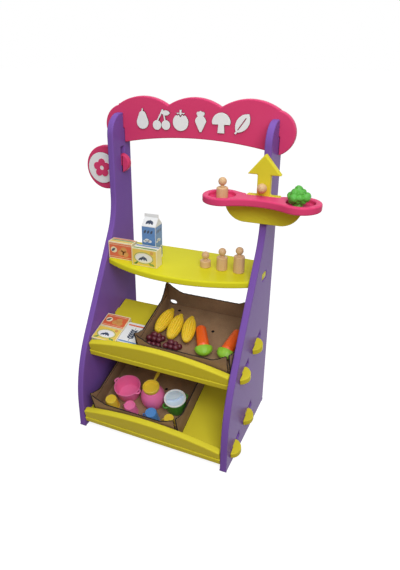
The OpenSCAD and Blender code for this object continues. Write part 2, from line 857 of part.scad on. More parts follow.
module upper_tray() in_frame() middle_slope() translate([upper_tray_x, tray_s, rest_gap]) tray();
module lower_tray() in_frame() bottom_slope() translate([lower_tray_x, tray_s, rest_gap]) tray();

// Places inside a tray, from its front left corner
module in_upper(at) in_frame() middle_slope()
  translate([upper_tray_x, tray_s, in_tray]) scale(fit) translate(at) children();
module in_lower(at) in_frame() bottom_slope()
  translate([lower_tray_x, tray_s, in_tray]) scale(fit) translate(at) children();

// Play food

// Where each piece stands in its tray, sideways and backwards from the front left corner,
// and how far it is turned there
corn_left_at = [25, 88];
corn_left_turn = -5;
corn_middle_at = [75.5, 72];
corn_middle_turn = 2;
corn_right_at = [129, 74];
corn_right_turn = 11;
grapes_left_at = [33, 67];
grapes_right_at = [95, 51];
carrot_left_at = [189, 68];
carrot_left_turn = 26;
carrot_right_at = [257, 75];
carrot_right_turn = -7;
pot_at = [75, 102];
pot_turn = -13;
jug_at = [168, 99];
stew_at = [246, 101];
stew_turn = 50;
lid_turn = -50;
yellow_cup_at = [46, 40];
pink_cup_at = [115, 38];
blue_cup_at = [191, 35];
small_cup_at = [250, 38];

cob_l = corn_l - stub_l;
function corn_radius(t) = corn_r * sqrt(1 - pow(abs(2 * t - 1.1) / 1.1, 3));

module corn() color("#e2be30")
  translate([0, 0, corn_r]) rotate([-90, 0, 0])
    rotate_extrude(convexity = 4)
      polygon(concat([[0, 0]], [for (i = [0:18]) [corn_radius(0.005 + i / 18 * 0.995), i / 18 * cob_l]],
        [[stub_r, cob_l], [stub_r, corn_l], [0, corn_l]]));

module corn_left() in_upper(corn_left_at) rotate(corn_left_turn) corn();
module corn_middle() in_upper(corn_middle_at) rotate(corn_middle_turn) corn();
module corn_right() in_upper(corn_right_at) rotate(corn_right_turn) corn();

// Middles of the grapes of a bunch, in steps of row, place in the row and layer
grape_rows = [[0, -1, 0], [0, 0, 0], [0, 1, 0], [1, -0.5, 0], [1, 0.5, 0], [2, 0, 0],
  [1 / 3, -0.5, 1], [1 / 3, 0.5, 1], [4 / 3, 0, 1]];
// Distance between two grapes that are moulded together
grape_step = 1.86 * grape_r;

module grapes() color("#5c1f2b")
  translate([0, grape_r, grape_r])
    for (g = grape_rows)
      translate([g[1], -g[0] * sqrt(3) / 2, g[2] * sqrt(2 / 3)] * grape_step)
        rotate([14, 38, 0]) sphere(r = grape_r, $fn = 36);

module grapes_left() in_upper(grapes_left_at) grapes();
module grapes_right() in_upper(grapes_right_at) grapes();

module carrot() color("#f06428")
  translate([0, 0, carrot_r]) rotate([-90, 0, 0])
    rotate_extrude(convexity = 4)
      polygon([[0, 0], [carrot_r * 0.8, 0], [carrot_r, carrot_l * 0.06],
        [carrot_r * 0.98, carrot_l * 0.2], [carrot_r * 0.86, carrot_l * 0.75],
        [carrot_r * 0.72, carrot_l * 0.94], [carrot_r * 0.45, carrot_l], [0, carrot_l]]);

module carrot_top() color("#8cc63a")
  translate([0, 0, carrot_r])
    intersection() {
      sphere(r = leaf_r);
      translate([-leaf_r, -leaf_r, -leaf_t / 2]) cube([2 * leaf_r, leaf_r, leaf_t]);
    }

module carrot_left() in_upper(carrot_left_at) rotate(carrot_left_turn) carrot();
module carrot_left_top() in_upper(carrot_left_at) rotate(carrot_left_turn) carrot_top();
module carrot_right() in_upper(carrot_right_at) rotate(carrot_right_turn) carrot();
module carrot_right_top() in_upper(carrot_right_at) rotate(carrot_right_turn) carrot_top();

// Play dishes

// A dish that widens upwards, with lugs given as children
module dish(foot, rim, h)
  difference() {
    union() {
      cylinder(r1 = foot, r2 = rim, h = h);
      children();
    }
    translate([0, 0, dish_wall])
      cylinder(r1 = foot - dish_wall, r2 = rim - dish_wall + (rim - foot) * 0.05, h = h);
  }

// A ring lug lying level
module ring_lug(ring, rod) rotate_extrude() translate([ring, 0]) circle(r = rod, $fn = 24);

module pink_pot() color("#e0508c") in_lower(pot_at)
  dish(pot_r * 0.8, pot_r, pot_h)
    for (s = [-1, 1])
      rotate(pot_turn) translate([s * pot_r * 0.96, 0, pot_h - lug_rod]) ring_lug(lug_r, lug_rod);

module pink_jug() color("#e0508c") in_lower(jug_at)
  rotate_extrude()
    difference() {
      polygon([[0, 0], [jug_r * 0.82, 0], [jug_r * 0.95, jug_h * 0.18], [jug_r, jug_h * 0.4],
        [jug_r * 0.95, jug_h * 0.65], [jug_r * 0.78, jug_h * 0.88], [jug_r * 0.7, jug_h], [0, jug_h]]);
      polygon([[-cut, dish_wall], [jug_r * 0.78, dish_wall], [jug_r * 0.95 - dish_wall, jug_h * 0.2],
        [jug_r - dish_wall, jug_h * 0.4], [jug_r * 0.95 - dish_wall, jug_h * 0.64],
        [jug_r * 0.78 - dish_wall, jug_h * 0.87], [jug_r * 0.7 - dish_wall, jug_h + cut],
        [-cut, jug_h + cut]]);
    }

module yellow_pan() color("#ddbb2c") in_lower(jug_at) translate([0, 0, jug_h + rest_gap])
  dish(skillet_r - skillet_taper, skillet_r, skillet_h)
    translate([-handle_w / 2, skillet_r - dish_wall, skillet_h - handle_t - handle_down])
      cube([handle_w, handle_l, handle_t]);

module green_pot() color("#5fa03a") in_lower(stew_at)
  dish(stew_r * 0.9, stew_r, stew_h)
    for (s = [-1, 1])
      rotate(stew_turn) translate([s * stew_r * 0.97, 0, stew_h * 0.75]) ring_lug(lug_r, lug_rod);

module white_lid() color(white) in_lower(stew_at) translate([0, 0, stew_h + rest_gap]) {
  cylinder(r = stew_r + lid_over, h = lid_t);
  rotate(lid_turn) translate([-grip_w / 2, -grip_l / 2, lid_t - weld]) cube([grip_w, grip_l, grip_t]);
}

// A cup standing on its mouth, with its lug at angle a
module cup(a)
  translate([0, 0, cup_h]) rotate([180, 0, a])
    dish(cup_r * 0.78, cup_r, cup_h)
      translate([cup_r * 0.93, 0, cup_h * 0.55]) rotate([90, 0, 0]) ring_lug(cup_lug_r, cup_lug_rod);

module yellow_cup() color("#ddbb2c") in_lower(yellow_cup_at) cup(145);
module pink_cup() color("#e0508c") in_lower(pink_cup_at) cup(170);
module blue_cup() color("#4a82c4") in_lower(blue_cup_at) cup(187);
module small_cup() color("#ddbb2c") in_lower(small_cup_at) scale(small_share) cup(187);

side_panel_left();
side_panel_right();
header_board();
motif_pear();
motif_cherries();
motif_tomato();
motif_carrot();
motif_mushroom();
motif_leaf();
top_shelf();
middle_shelf();
middle_lip();
middle_lip_dowels();
bottom_shelf();
bottom_lip();
bottom_lip_dowels();
price_board();
price_face();
price_mark();
balance_board();
balance_beam();
balance_dowels();
pivot_peg();
weight_small();
weight_medium();
weight_large();
weight_on_pan();
broccoli();
milk_carton();
pack_red_upright();
pack_yellow_upright();
pack_red_flat();
pack_yellow_flat();
flour_pack();
upper_tray();
corn_left();
corn_middle();
corn_right();
grapes_left();
grapes_right();
carrot_left();
carrot_left_top();
carrot_right();
carrot_right_top();
lower_tray();
pink_pot();
pink_jug();
yellow_pan();
green_pot();
white_lid();
yellow_cup();
pink_cup();
blue_cup();
small_cup();
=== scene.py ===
"""Looks of the toy market stall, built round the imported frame. Metres, Z up."""

import json
import math

import bmesh
import bpy
from mathutils import Matrix, Vector, noise


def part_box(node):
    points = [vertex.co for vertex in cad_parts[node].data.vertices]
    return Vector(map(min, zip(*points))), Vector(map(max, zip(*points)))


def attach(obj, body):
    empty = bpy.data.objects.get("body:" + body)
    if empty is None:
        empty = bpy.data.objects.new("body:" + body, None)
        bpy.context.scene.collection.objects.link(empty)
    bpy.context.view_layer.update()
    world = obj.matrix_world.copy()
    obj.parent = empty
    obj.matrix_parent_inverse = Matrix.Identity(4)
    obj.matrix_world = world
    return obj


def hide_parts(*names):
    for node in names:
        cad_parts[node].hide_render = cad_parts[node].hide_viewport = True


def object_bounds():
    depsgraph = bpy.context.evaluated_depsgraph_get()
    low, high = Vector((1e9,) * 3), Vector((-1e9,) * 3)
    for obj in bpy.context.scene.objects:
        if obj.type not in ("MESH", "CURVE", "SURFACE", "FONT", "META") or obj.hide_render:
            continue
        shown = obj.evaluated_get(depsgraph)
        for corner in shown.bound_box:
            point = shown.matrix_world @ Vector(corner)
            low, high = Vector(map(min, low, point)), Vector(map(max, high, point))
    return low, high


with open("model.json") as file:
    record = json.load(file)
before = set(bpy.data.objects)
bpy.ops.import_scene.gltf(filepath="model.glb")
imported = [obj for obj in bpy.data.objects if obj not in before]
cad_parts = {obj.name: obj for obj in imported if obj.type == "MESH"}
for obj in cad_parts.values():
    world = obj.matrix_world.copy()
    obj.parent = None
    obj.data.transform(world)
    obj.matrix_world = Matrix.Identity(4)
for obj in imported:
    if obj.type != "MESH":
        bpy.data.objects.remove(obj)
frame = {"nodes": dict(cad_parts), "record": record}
cad_low, cad_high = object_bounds()
cad_nodes = frame["nodes"]
bodies = frame["record"]["behaviour"]["bodies"]
carrier = {name: body for body, members in bodies.items() for name in members}

MM = 0.001
# A turned ring that is narrower than this, in metres, is a tip
TIP_R = 1e-6
# Slope of the two lower shelves and of what lies on them
SLOPE = Matrix.Rotation(math.radians(16), 4, "X")
LEVEL = Matrix.Identity(4)
X, Y, Z = Vector((1, 0, 0)), Vector((0, 1, 0)), Vector((0, 0, 1))
# Without a seed, noise vectors start from the clock and differ from run to run
noise.seed_set(1)


# Materials


def srgb(code):
    """Linear colour of an sRGB hex value."""
    parts = [int(code[i : i + 2], 16) / 255 for i in (1, 3, 5)]
    linear = [c / 12.92 if c <= 0.04045 else ((c + 0.055) / 1.055) ** 2.4 for c in parts]
    return (*linear, 1.0)


def add(tree, kind, inputs=None, **settings):
    """Adds a node with its settings. An input is a value, or a socket to link."""
    made = tree.nodes.new(kind)
    for name, value in settings.items():
        setattr(made, name, value)
    for name, value in (inputs or {}).items():
        if isinstance(value, bpy.types.NodeSocket):
            tree.links.new(value, made.inputs[name])
        else:
            made.inputs[name].default_value = value
    return made


def new_material(name):
    """An empty material, its node tree, and the place on the piece that its patterns follow."""
    material = bpy.data.materials.new(name)
    material.use_nodes = True
    tree = material.node_tree
    tree.nodes.clear()
    return material, tree, add(tree, "ShaderNodeTexCoord").outputs["Object"]


# Sockets of a colour mix: its share, its two colours and, among the outputs, its result
SHARE, FIRST, SECOND, MIXED = 0, 6, 7, 2
# The range that most of a noise lies in
NOISE_RANGE = {"From Min": 0.3, "From Max": 0.7}


def finish_material(material, tones, sheen, relief, **surface):
    """The material from what mixes its colour, sets its roughness and raises its bumps, and from
    its fixed surface values."""
    tree = material.node_tree
    inputs = {key.replace("_", " "): value for key, value in surface.items()}
    inputs["Base Color"] = add(tree, "ShaderNodeMix", tones, data_type="RGBA").outputs[MIXED]
    inputs["Roughness"] = add(tree, "ShaderNodeMapRange", {**NOISE_RANGE, **sheen}).outputs["Result"]
    inputs["Normal"] = add(tree, "ShaderNodeBump", relief).outputs["Normal"]
    shader = add(tree, "ShaderNodeBsdfPrincipled", inputs)
    add(tree, "ShaderNodeOutputMaterial", {"Surface": shader.outputs["BSDF"]})
    return material


def lacquered_board(name, tone, cloud, gloss):
    """Sprayed satin lacquer on fibreboard: even colour under a low sheen that the orange peel
    of the spray spreads out, and a slightly duller film here and there."""
    material, tree, place = new_material(name)
    # Clouds in the film are about 90 mm wide, the orange peel 6 mm
    clouds = add(tree, "ShaderNodeTexNoise", {"Vector": place, "Scale": 1000 / 90, "Detail": 3.0})
    peel = add(tree, "ShaderNodeTexNoise", {"Vector": place, "Scale": 1000 / 6, "Detail": 1.0})
    tones = {SHARE: clouds.outputs["Fac"], FIRST: srgb(tone), SECOND: srgb(cloud)}
    sheen = {"Value": clouds.outputs["Fac"], "To Min": gloss, "To Max": gloss + 0.03}
    relief = {"Height": peel.outputs["Fac"], "Strength": 0.02, "Distance": 0.1 * MM}
    # Real lacquer has IOR 1.5; the photograph shows less of the white room in it
    return finish_material(material, tones, sheen, relief, IOR=1.5, Specular_IOR_Level=0.03)


def scorched_cut(name):
    """Edge of a thin board cut by laser: dark brown to black, dull, with fine cut ridges."""
    material, tree, place = new_material(name)
    # Cut ridges are 0.8 mm apart, drawn coarser than real; soot clouds are 8 mm wide
    ridges = add(tree, "ShaderNodeTexNoise", {"Vector": place, "Scale": 1000 / 0.8, "Detail": 1.0})
    soot = add(tree, "ShaderNodeTexNoise", {"Vector": place, "Scale": 1000 / 8, "Detail": 3.0})
    tones = {SHARE: soot.outputs["Fac"], FIRST: srgb("#2A1D1A"), SECOND: srgb("#453029")}
    sheen = {"Value": soot.outputs["Fac"], "To Min": 0.6, "To Max": 0.8}
    relief = {"Height": ridges.outputs["Fac"], "Strength": 0.2, "Distance": 0.1 * MM}
    return finish_material(material, tones, sheen, relief, IOR=1.45)


def turned_beech(name):
    """Bare turned beech: pale pinkish brown with fine straight grain along the turning and
    short dark ray flecks, matt with a faint sheen from sanding."""
    material, tree, place = new_material(name)
    # Growth lines are 3 mm apart and run 60 mm, drawn coarser than real so that they show
    lines = {"Vector": place, "Scale": (1000 / 3, 1000 / 3, 1000 / 60)}
    long_way = add(tree, "ShaderNodeMapping", lines).outputs["Vector"]
    grain = add(tree, "ShaderNodeTexNoise", {"Vector": long_way, "Scale": 1.0, "Detail": 4.0})
    # Ray flecks are 0.7 mm wide and 3 mm long
    rays = {"Vector": place, "Scale": (1000 / 0.7, 1000 / 0.7, 1000 / 3)}
    short_way = add(tree, "ShaderNodeMapping", rays).outputs["Vector"]
    fleck = add(tree, "ShaderNodeTexNoise", {"Vector": short_way, "Scale": 1.0, "Detail": 1.0})
    few = {"From Min": 0.62, "From Max": 0.72, "To Min": 0.0, "To Max": 0.45}
    dark = add(tree, "ShaderNodeMapRange", {"Value": fleck.outputs["Fac"], **few})
    plain = {SHARE: grain.outputs["Fac"], FIRST: srgb("#EACB9E"), SECOND: srgb("#CF9F6C")}
    wood = add(tree, "ShaderNodeMix", plain, data_type="RGBA")
    tones = {SHARE: dark.outputs["Result"], FIRST: wood.outputs[MIXED], SECOND: srgb("#A9774F")}
    sheen = {"Value": grain.outputs["Fac"], "To Min": 0.42, "To Max": 0.55}
    relief = {"Height": grain.outputs["Fac"], "Strength": 0.2, "Distance": 0.1 * MM}
    return finish_material(material, tones, sheen, relief, IOR=1.5)


def corrugated_card(name, tone, shade):
    """Brown kraft liner over flutes: dull, flecked with fibres, with faint stripes where the
    flutes show through."""
    material, tree, place = new_material(name)
    # Fibres 2 mm, stains 60 mm, flutes 8 mm apart; a wave repeats every 0.314 / scale
    fibre = add(tree, "ShaderNodeTexNoise", {"Vector": place, "Scale": 1000 / 2, "Detail": 5.0})
    stain = add(tree, "ShaderNodeTexNoise", {"Vector": place, "Scale": 1000 / 60, "Detail": 3.0})
    waves = {"Vector": place, "Scale": 0.314 / (8 * MM), "Distortion": 0.4}
    flute = add(tree, "ShaderNodeTexWave", waves, bands_direction="X")
    both = {0: fibre.outputs["Fac"], 1: stain.outputs["Fac"]}
    mottle = add(tree, "ShaderNodeMath", both, operation="MULTIPLY").outputs["Value"]
    share = add(tree, "ShaderNodeMapRange", {"Value": mottle, "From Min": 0.12, "From Max": 0.4})
    tones = {SHARE: share.outputs["Result"], FIRST: srgb(shade), SECOND: srgb(tone)}
    sheen = {"Value": fibre.outputs["Fac"], "To Min": 0.78, "To Max": 0.92}
    both = {0: flute.outputs["Fac"], 1: fibre.outputs["Fac"]}
    ribs = add(tree, "ShaderNodeMath", both, operation="ADD").outputs["Value"]
    relief = {"Height": ribs, "Strength": 0.35, "Distance": 0.25 * MM}
    return finish_material(material, tones, sheen, relief, IOR=1.45)


def printed_board(name, tone, screen):
    """Ink on white folding boxboard under a press varnish: a halftone of fine dots over the
    tone, and a low gloss."""
    material, tree, place = new_material(name)
    # A press screen has about 0.2 mm dots; 1.5 mm here, so that it shows
    dots = add(tree, "ShaderNodeTexVoronoi", {"Vector": place, "Scale": 1000 / 1.5})
    fade = add(tree, "ShaderNodeTexNoise", {"Vector": place, "Scale": 1000 / 30, "Detail": 2.0})
    both = {0: dots.outputs["Distance"], 1: fade.outputs["Fac"]}
    share = add(tree, "ShaderNodeMath", both, operation="MULTIPLY").outputs["Value"]
    tones = {SHARE: share, FIRST: srgb(tone), SECOND: srgb(screen)}
    sheen = {"Value": fade.outputs["Fac"], "To Min": 0.3, "To Max": 0.42}
    relief = {"Height": fade.outputs["Fac"], "Strength": 0.2, "Distance": 0.3 * MM}
    return finish_material(material, tones, sheen, relief, IOR=1.5)


def moulded_polythene(name, tone, flow, gloss):
    """Blow- or injection-moulded polythene: waxy, a little see-through at the surface, with
    flow clouds in the colour and a faint spark texture from the mould."""
    material, tree, place = new_material(name)
    # Flow clouds are 25 mm wide, the mould's spark texture 1.2 mm
    clouds = add(tree, "ShaderNodeTexNoise", {"Vector": place, "Scale": 1000 / 25, "Detail": 2.0})
    spark = add(tree, "ShaderNodeTexNoise", {"Vector": place, "Scale": 1000 / 1.2, "Detail": 2.0})
    tones = {SHARE: clouds.outputs["Fac"], FIRST: srgb(tone), SECOND: srgb(flow)}
    sheen = {"Value": clouds.outputs["Fac"], "To Min": gloss, "To Max": gloss + 0.1}
    relief = {"Height": spark.outputs["Fac"], "Strength": 0.1, "Distance": 0.08 * MM}
    waxy = {"Subsurface_Weight": 0.08, "Subsurface_Scale": 2 * MM}
    return finish_material(material, tones, sheen, relief, IOR=1.51, **waxy)


purple_lacquer = lacquered_board("purple lacquer on fibreboard", "#7E58B0", "#845FB6", 0.24)
pink_lacquer = lacquered_board("pink lacquer on fibreboard", "#DF4375", "#E54D7D", 0.26)
# One yellow lacquer in two copies: a warmer gold that paints the shade on the shelves, lips and balance
# board, and a greener lemon that paints the light on the counter's top
shaded_gold_lacquer = lacquered_board("yellow lacquer on fibreboard", "#E2D436", "#E6DA3E", 0.24)
lit_lemon_lacquer = lacquered_board("lit lemon copy of the yellow lacquer", "#E2DC28", "#E6E230", 0.24)
white_lacquer = lacquered_board("white lacquer on fibreboard", "#F4F8FC", "#FAFCFE", 0.28)
cut_edge = scorched_cut("scorched edge of laser-cut board")
beech = turned_beech("bare turned beech")
kraft = corrugated_card("kraft corrugated card", "#A78868", "#866A50")
# The near-black of the cut edges also paints the shade in the tray's air holes
kraft_edge_and_hole_shade = corrugated_card("cut edge of corrugated card and painted hole shade", "#211710", "#150E09")
red_print = printed_board("red print on boxboard", "#DC5B33", "#EE8A55")
tan_print = printed_board("biscuit print on boxboard", "#E0A95C", "#C98A40")
cream_print = printed_board("cream print on boxboard", "#F3E6B8", "#F8F0D2")
yellow_print = printed_board("yellow print on boxboard", "#EBC945", "#F4DE7E")
white_print = printed_board("white boxboard", "#F1F3F4", "#E3E7EA")
blue_print = printed_board("blue print on boxboard", "#4F7FBE", "#86AEDA")
dark_print = printed_board("dark print on boxboard", "#2E3A52", "#4A566C")
green_print = printed_board("green print on boxboard", "#5E9440", "#8DB766")
corn_plastic = moulded_polythene("corn yellow polythene", "#F9D82E", "#F3CC28", 0.34)
grape_plastic = moulded_polythene("grape red polythene", "#6B2233", "#551926", 0.4)
stem_plastic = moulded_polythene("stem brown polythene", "#4E3423", "#5C3F2A", 0.4)
carrot_plastic = moulded_polythene("carrot orange polythene", "#FF6C22", "#F86218", 0.34)
leaf_plastic = moulded_polythene("leaf green polythene", "#98D033", "#8AC42C", 0.36)
broccoli_plastic = moulded_polythene("broccoli green polythene", "#58B83C", "#4AA432", 0.38)
pink_plastic = moulded_polythene("pink polythene", "#FC82BA", "#F678B2", 0.28)
yellow_plastic = moulded_polythene("yellow polythene", "#F5D845", "#F0CE3C", 0.28)
green_plastic = moulded_polythene("green polythene", "#4E9A34", "#448C2C", 0.28)
blue_plastic = moulded_polythene("blue polythene", "#5A9AE0", "#5090D8", 0.28)
# The lid's face is a bluer, darker white than its bead: partly the polythene's tint, partly painted shade
# in the sunk face
lid_tint_and_shade_plastic = moulded_polythene("white polythene", "#CFE4F8", "#DCEBFA", 0.26)
rim_plastic = moulded_polythene("white polythene bead", "#F6FAFC", "#FCFDFE", 0.26)


# Making pieces


def show(name, shape, materials, node, crease=35):
    """Makes the piece from its mesh. It stands for the CAD node and rides on the node's body."""
    mesh = bpy.data.meshes.new(name)
    bmesh.ops.recalc_face_normals(shape, faces=shape.faces)
    shape.to_mesh(mesh)
    shape.free()
    for polygon in mesh.polygons:
        polygon.use_smooth = True
    mesh.set_sharp_from_angle(angle=math.radians(crease))
    for material in materials:
        mesh.materials.append(material)
    piece = bpy.data.objects.new(name, mesh)
    bpy.context.scene.collection.objects.link(piece)
    even = piece.modifiers.new("even light on flat faces", "WEIGHTED_NORMAL")
    even.keep_sharp = True
    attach(piece, carrier[node])
    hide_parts(node)
    return piece


def take_in(shape, made):
    """Adds a finished mesh to a shape."""
    mesh = bpy.data.meshes.new("part of a piece")
    made.to_mesh(mesh)
    made.free()
    shape.from_mesh(mesh)
    bpy.data.meshes.remove(mesh)


def solid_of(node):
    """A copy of the CAD node's mesh with its flat faces made whole."""
    shape = bmesh.new()
    shape.from_mesh(cad_nodes[node].data)
    bmesh.ops.remove_doubles(shape, verts=shape.verts, dist=0.01 * MM)
    bmesh.ops.dissolve_limit(
        shape,
        angle_limit=math.radians(0.4),
        verts=shape.verts,
        edges=shape.edges,
        delimit=set(),
    )
    return shape


def round_edges(shape, radius, steps=3, corner=35):
    """Rounds every edge that turns by more than the corner angle, apart from dowel holes."""
    # The facets of a dowel hole are under 1 mm long
    sharp = [
        edge
        for edge in shape.edges
        if edge.calc_length() > 1 * MM and edge.calc_face_angle(0) > math.radians(corner)
    ]
    bmesh.ops.bevel(
        shape,
        geom=sharp,
        offset=radius,
        offset_type="OFFSET",
        segments=steps,
        profile=0.5,
        affect="EDGES",
        clamp_overlap=False,
    )


def spots_of(node, turn):
    """The points of a node in a frame that is turned that way."""
    back = turn.inverted()
    return [back @ v.co for v in cad_nodes[node].data.vertices]


def place_of(node, turn):
    """Lowest and highest corner of a node in a frame that is turned that way."""
    spots = spots_of(node, turn)
    low = Vector([min(s[i] for s in spots) for i in range(3)])
    high = Vector([max(s[i] for s in spots) for i in range(3)])
    return low, high


def foot_centre(node, turn):
    """Middle of the round foot that a node stands on, in the turned frame."""
    spots = spots_of(node, turn)
    foot = min(s.z for s in spots)
    ring = [s for s in spots if s.z < foot + 0.5 * MM]
    across = [(min(s[i] for s in ring) + max(s[i] for s in ring)) / 2 for i in (0, 1)]
    return Vector((*across, foot))


def turned(shape, turn):
    """Puts a shape that was made in a turned frame into the frame of the stall."""
    bmesh.ops.transform(shape, matrix=turn, verts=shape.verts)
    return shape


def skin(shape, rings):
    """Faces from each ring of points to the next. A ring of one point is a tip."""
    around = max(len(ring) for ring in rings)
    for low, high in zip(rings, rings[1:]):
        for i in range(around):
            j = (i + 1) % around
            corners = [low[i % len(low)], low[j % len(low)], high[j % len(high)], high[i % len(high)]]
            corners = [v for k, v in enumerate(corners) if v not in corners[:k]]
            if len(corners) > 2:
                shape.faces.new(corners)


def prism(shape, base, top, material=0):
    """Faces of a straight-sided body between two outlines with as many points."""
    for corners in (top, base[::-1]):
        shape.faces.new(corners).material_index = material
    for i in range(len(top)):
        j = (i + 1) % len(top)
        shape.faces.new([base[i], base[j], top[j], top[i]]).material_index = material


def lathe(shape, profile, centre, axis="Z", steps=72):
    """Turns a profile of (radius, height) about an axis through the centre."""
    rings = []
    for radius, height in profile:
        ring = []
        for i in range(steps if radius > TIP_R else 1):
            a = 2 * math.pi * i / steps
            across = Vector((radius * math.cos(a), radius * math.sin(a), height))
            if axis == "Y":
                across = Vector((across.x, across.z, -across.y))
            ring.append(shape.verts.new(centre + across))
        rings.append(ring)
    skin(shape, rings)


def arc(radius, from_angle, to_angle, steps, level=0.0, reach=0.0):
    """Points on a round stretch of a profile, as (radius, height)."""
    points = []
    for i in range(steps + 1):
        a = math.radians(from_angle + (to_angle - from_angle) * i / steps)
        points.append((max(0.0, reach + radius * math.cos(a)), level + radius * math.sin(a)))
    return points


def ball(shape, centre, radius):
    """A round lump."""
    made = bmesh.ops.create_icosphere(shape, subdivisions=3, radius=radius)
    bmesh.ops.translate(shape, verts=made["verts"], vec=centre)


# Flat outlines, in millimetres


def ellipse(x, y, wide, tall, steps=32):
    """Outline of an oval."""
    turn = 2 * math.pi / steps
    return [(x + wide * math.cos(i * turn), y + tall * math.sin(i * turn)) for i in range(steps)]


def bar(x, y, wide, tall):
    """Outline of a rectangle from its lower left corner."""
    return [(x, y), (x + wide, y), (x + wide, y + tall), (x, y + tall)]


def placed(points, turn, x=0.0, y=0.0):
    """An outline that is turned by an angle and then moved."""
    a = math.radians(turn)
    c, s = math.cos(a), math.sin(a)
    return [(x + px * c - py * s, y + px * s + py * c) for px, py in points]


# Painted boards: the finish, its slot, and the radius to which the edges are rounded


def painted(nodes, material, radius, steps=3):
    """Boards cut from sheet, with their edges rounded over before painting."""
    for node in nodes:
        shape = solid_of(node)
        round_edges(shape, radius * MM, steps)
        show("painted_" + node, shape, [material], node)


def laser_cut(nodes, material, radius):
    """Thin plates cut from painted sheet: a painted front and dark scorched sides."""
    for node in nodes:
        shape = solid_of(node)
        round_edges(shape, radius * MM, 2)
        shape.normal_update()
        for face in shape.faces:
            face.material_index = 0 if face.normal.y < -0.75 else 1
        show("cut_" + node, shape, [material, cut_edge], node)


MOTIFS = ("pear", "cherries", "tomato", "carrot", "mushroom", "leaf")
painted(("side_panel_left", "side_panel_right"), purple_lacquer, 4.0)
painted(("header_board", "price_board"), pink_lacquer, 3.4)
painted(("balance_beam",), pink_lacquer, 4.0, 4)
# The counter's top takes the lemon copy of the yellow lacquer, painted for its light
painted(("top_shelf",), lit_lemon_lacquer, 5.0, 4)
painted(("middle_lip", "bottom_lip"), shaded_gold_lacquer, 4.0)
painted(("middle_shelf", "bottom_shelf"), shaded_gold_lacquer, 2.2)
painted(("balance_board",), shaded_gold_lacquer, 3.4)
laser_cut(["motif_" + m for m in MOTIFS], white_lacquer, 0.9)
laser_cut(("price_face",), white_lacquer, 0.7)
painted(("price_mark",), pink_lacquer, 0.7)


# Turned beech

# Radius of a weight's body, ball and neck, and the gap between its shoulder and its ball
WEIGHT_R, KNOB_R, NECK_R, NECK_GAP = 16 * MM, 11.5 * MM, 5 * MM, 4 * MM
# Radius of a weight's eased foot and domed shoulder, and of the peg
FOOT_EASE, SHOULDER_DOME, PEG_R = 1.5 * MM, 3.5 * MM, 5 * MM


def weight(node):
    """A turned weight: body with eased foot, domed shoulder, narrow neck and ball."""
    low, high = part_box(node)
    tall = high.z - low.z
    shoulder = tall - 2 * KNOB_R - NECK_GAP
    under = -math.degrees(math.acos(NECK_R / KNOB_R))
    profile = [(0.0, 0.0)]
    profile += arc(FOOT_EASE, -90, 0, 4, FOOT_EASE, WEIGHT_R - FOOT_EASE)
    profile += [(WEIGHT_R, shoulder * 0.5)]
    profile += arc(SHOULDER_DOME, 0, 80, 6, shoulder - SHOULDER_DOME, WEIGHT_R - SHOULDER_DOME)
    profile += [(NECK_R + 2.5 * MM, shoulder + 0.2 * MM), (NECK_R + 0.6 * MM, shoulder + 1.4 * MM)]
    profile += [(NECK_R, shoulder + 3 * MM)]
    profile += arc(KNOB_R, under, 90, 20, tall - KNOB_R)
    shape = bmesh.new()
    middle = (low + high) / 2
    lathe(shape, profile, Vector((middle.x, middle.y, low.z)), steps=64)
    show("turned_" + node, shape, [beech], node)


def ball_peg(node):
    """The pivot: a peg with a ball at its front end."""
    low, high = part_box(node)
    ball_r = (high.z - low.z) / 2
    back = high.y - low.y - ball_r
    profile = arc(ball_r, -90, 90 - math.degrees(math.asin(PEG_R / ball_r)), 28)
    profile += [(PEG_R, back), (0.0, back)]
    shape = bmesh.new()
    lathe(shape, profile, Vector(((low.x + high.x) / 2, low.y + ball_r, low.z + ball_r)), "Y", 48)
    show("turned_" + node, shape, [beech], node)


for size in ("small", "medium", "large", "on_pan"):
    weight("weight_" + size)
ball_peg("pivot_peg")

for hidden_dowels in ("middle_lip_dowels", "bottom_lip_dowels", "balance_dowels"):
    dowel_mesh = cad_nodes[hidden_dowels].data
    dowel_mesh.materials.clear()
    dowel_mesh.materials.append(beech)


# Card trays, in millimetres

# Thickness of the card, and of the flaps and linings that are folded in
CARD, FLAP = 4.0, 1.4
# Height of the wall and of its corner peaks, the peak's flat end, and the run of its slope
TRAY_WALL, TRAY_PEAK, PEAK_FLAT, PEAK_RUN = 61.0, 93.0, 5.0, 51.0
# Hand hole: distance from the wall's end and the tray's underside, radius, half its straight part
GRIP_IN, GRIP_UP, GRIP_R, GRIP_HALF = 17.0, 15.0, 9, 3
# Air holes: radius, how far each is from its own end and from the back, and the thickness of the dark disc
# under each that paints the shade in the hole
VENT_R, LEFT_VENT, RIGHT_VENT, HOLE_SHADE_DISC = 5, (47.0, 27.0), (112.0, 85.0), 0.6
# Outline of a corner flap; how far a lining is drawn in at its foot and its top, and its height
CORNER_FLAP = [(0, 0), (58, 0), (52, 42), (4, 50)]
LINING_FOOT_IN, LINING_TOP_IN, LINING_TALL = 14, 20, 51


def cut_sheet(shape, outline, holes, corner, right, up, thick, face_finish=0):
    """A sheet of card from its outline and holes, measured from its corner; dark cut edges."""
    out = right.cross(up)
    made = bmesh.new()
    for loop in [outline] + holes:
        ring = [made.verts.new(corner + (right * x + up * y) * MM) for x, y in loop]
        for first, second in zip(ring, ring[1:] + ring[:1]):
            made.edges.new((first, second))
    bmesh.ops.triangle_fill(made, edges=made.edges[:], use_beauty=True, normal=out)
    grown = bmesh.ops.extrude_face_region(made, geom=made.faces[:])
    far = [v for v in grown["geom"] if isinstance(v, bmesh.types.BMVert)]
    bmesh.ops.translate(made, verts=far, vec=-out * thick * MM)
    made.normal_update()
    for face in made.faces:
        face.material_index = face_finish if abs(face.normal.dot(out)) > 0.9 else 1
    take_in(shape, made)


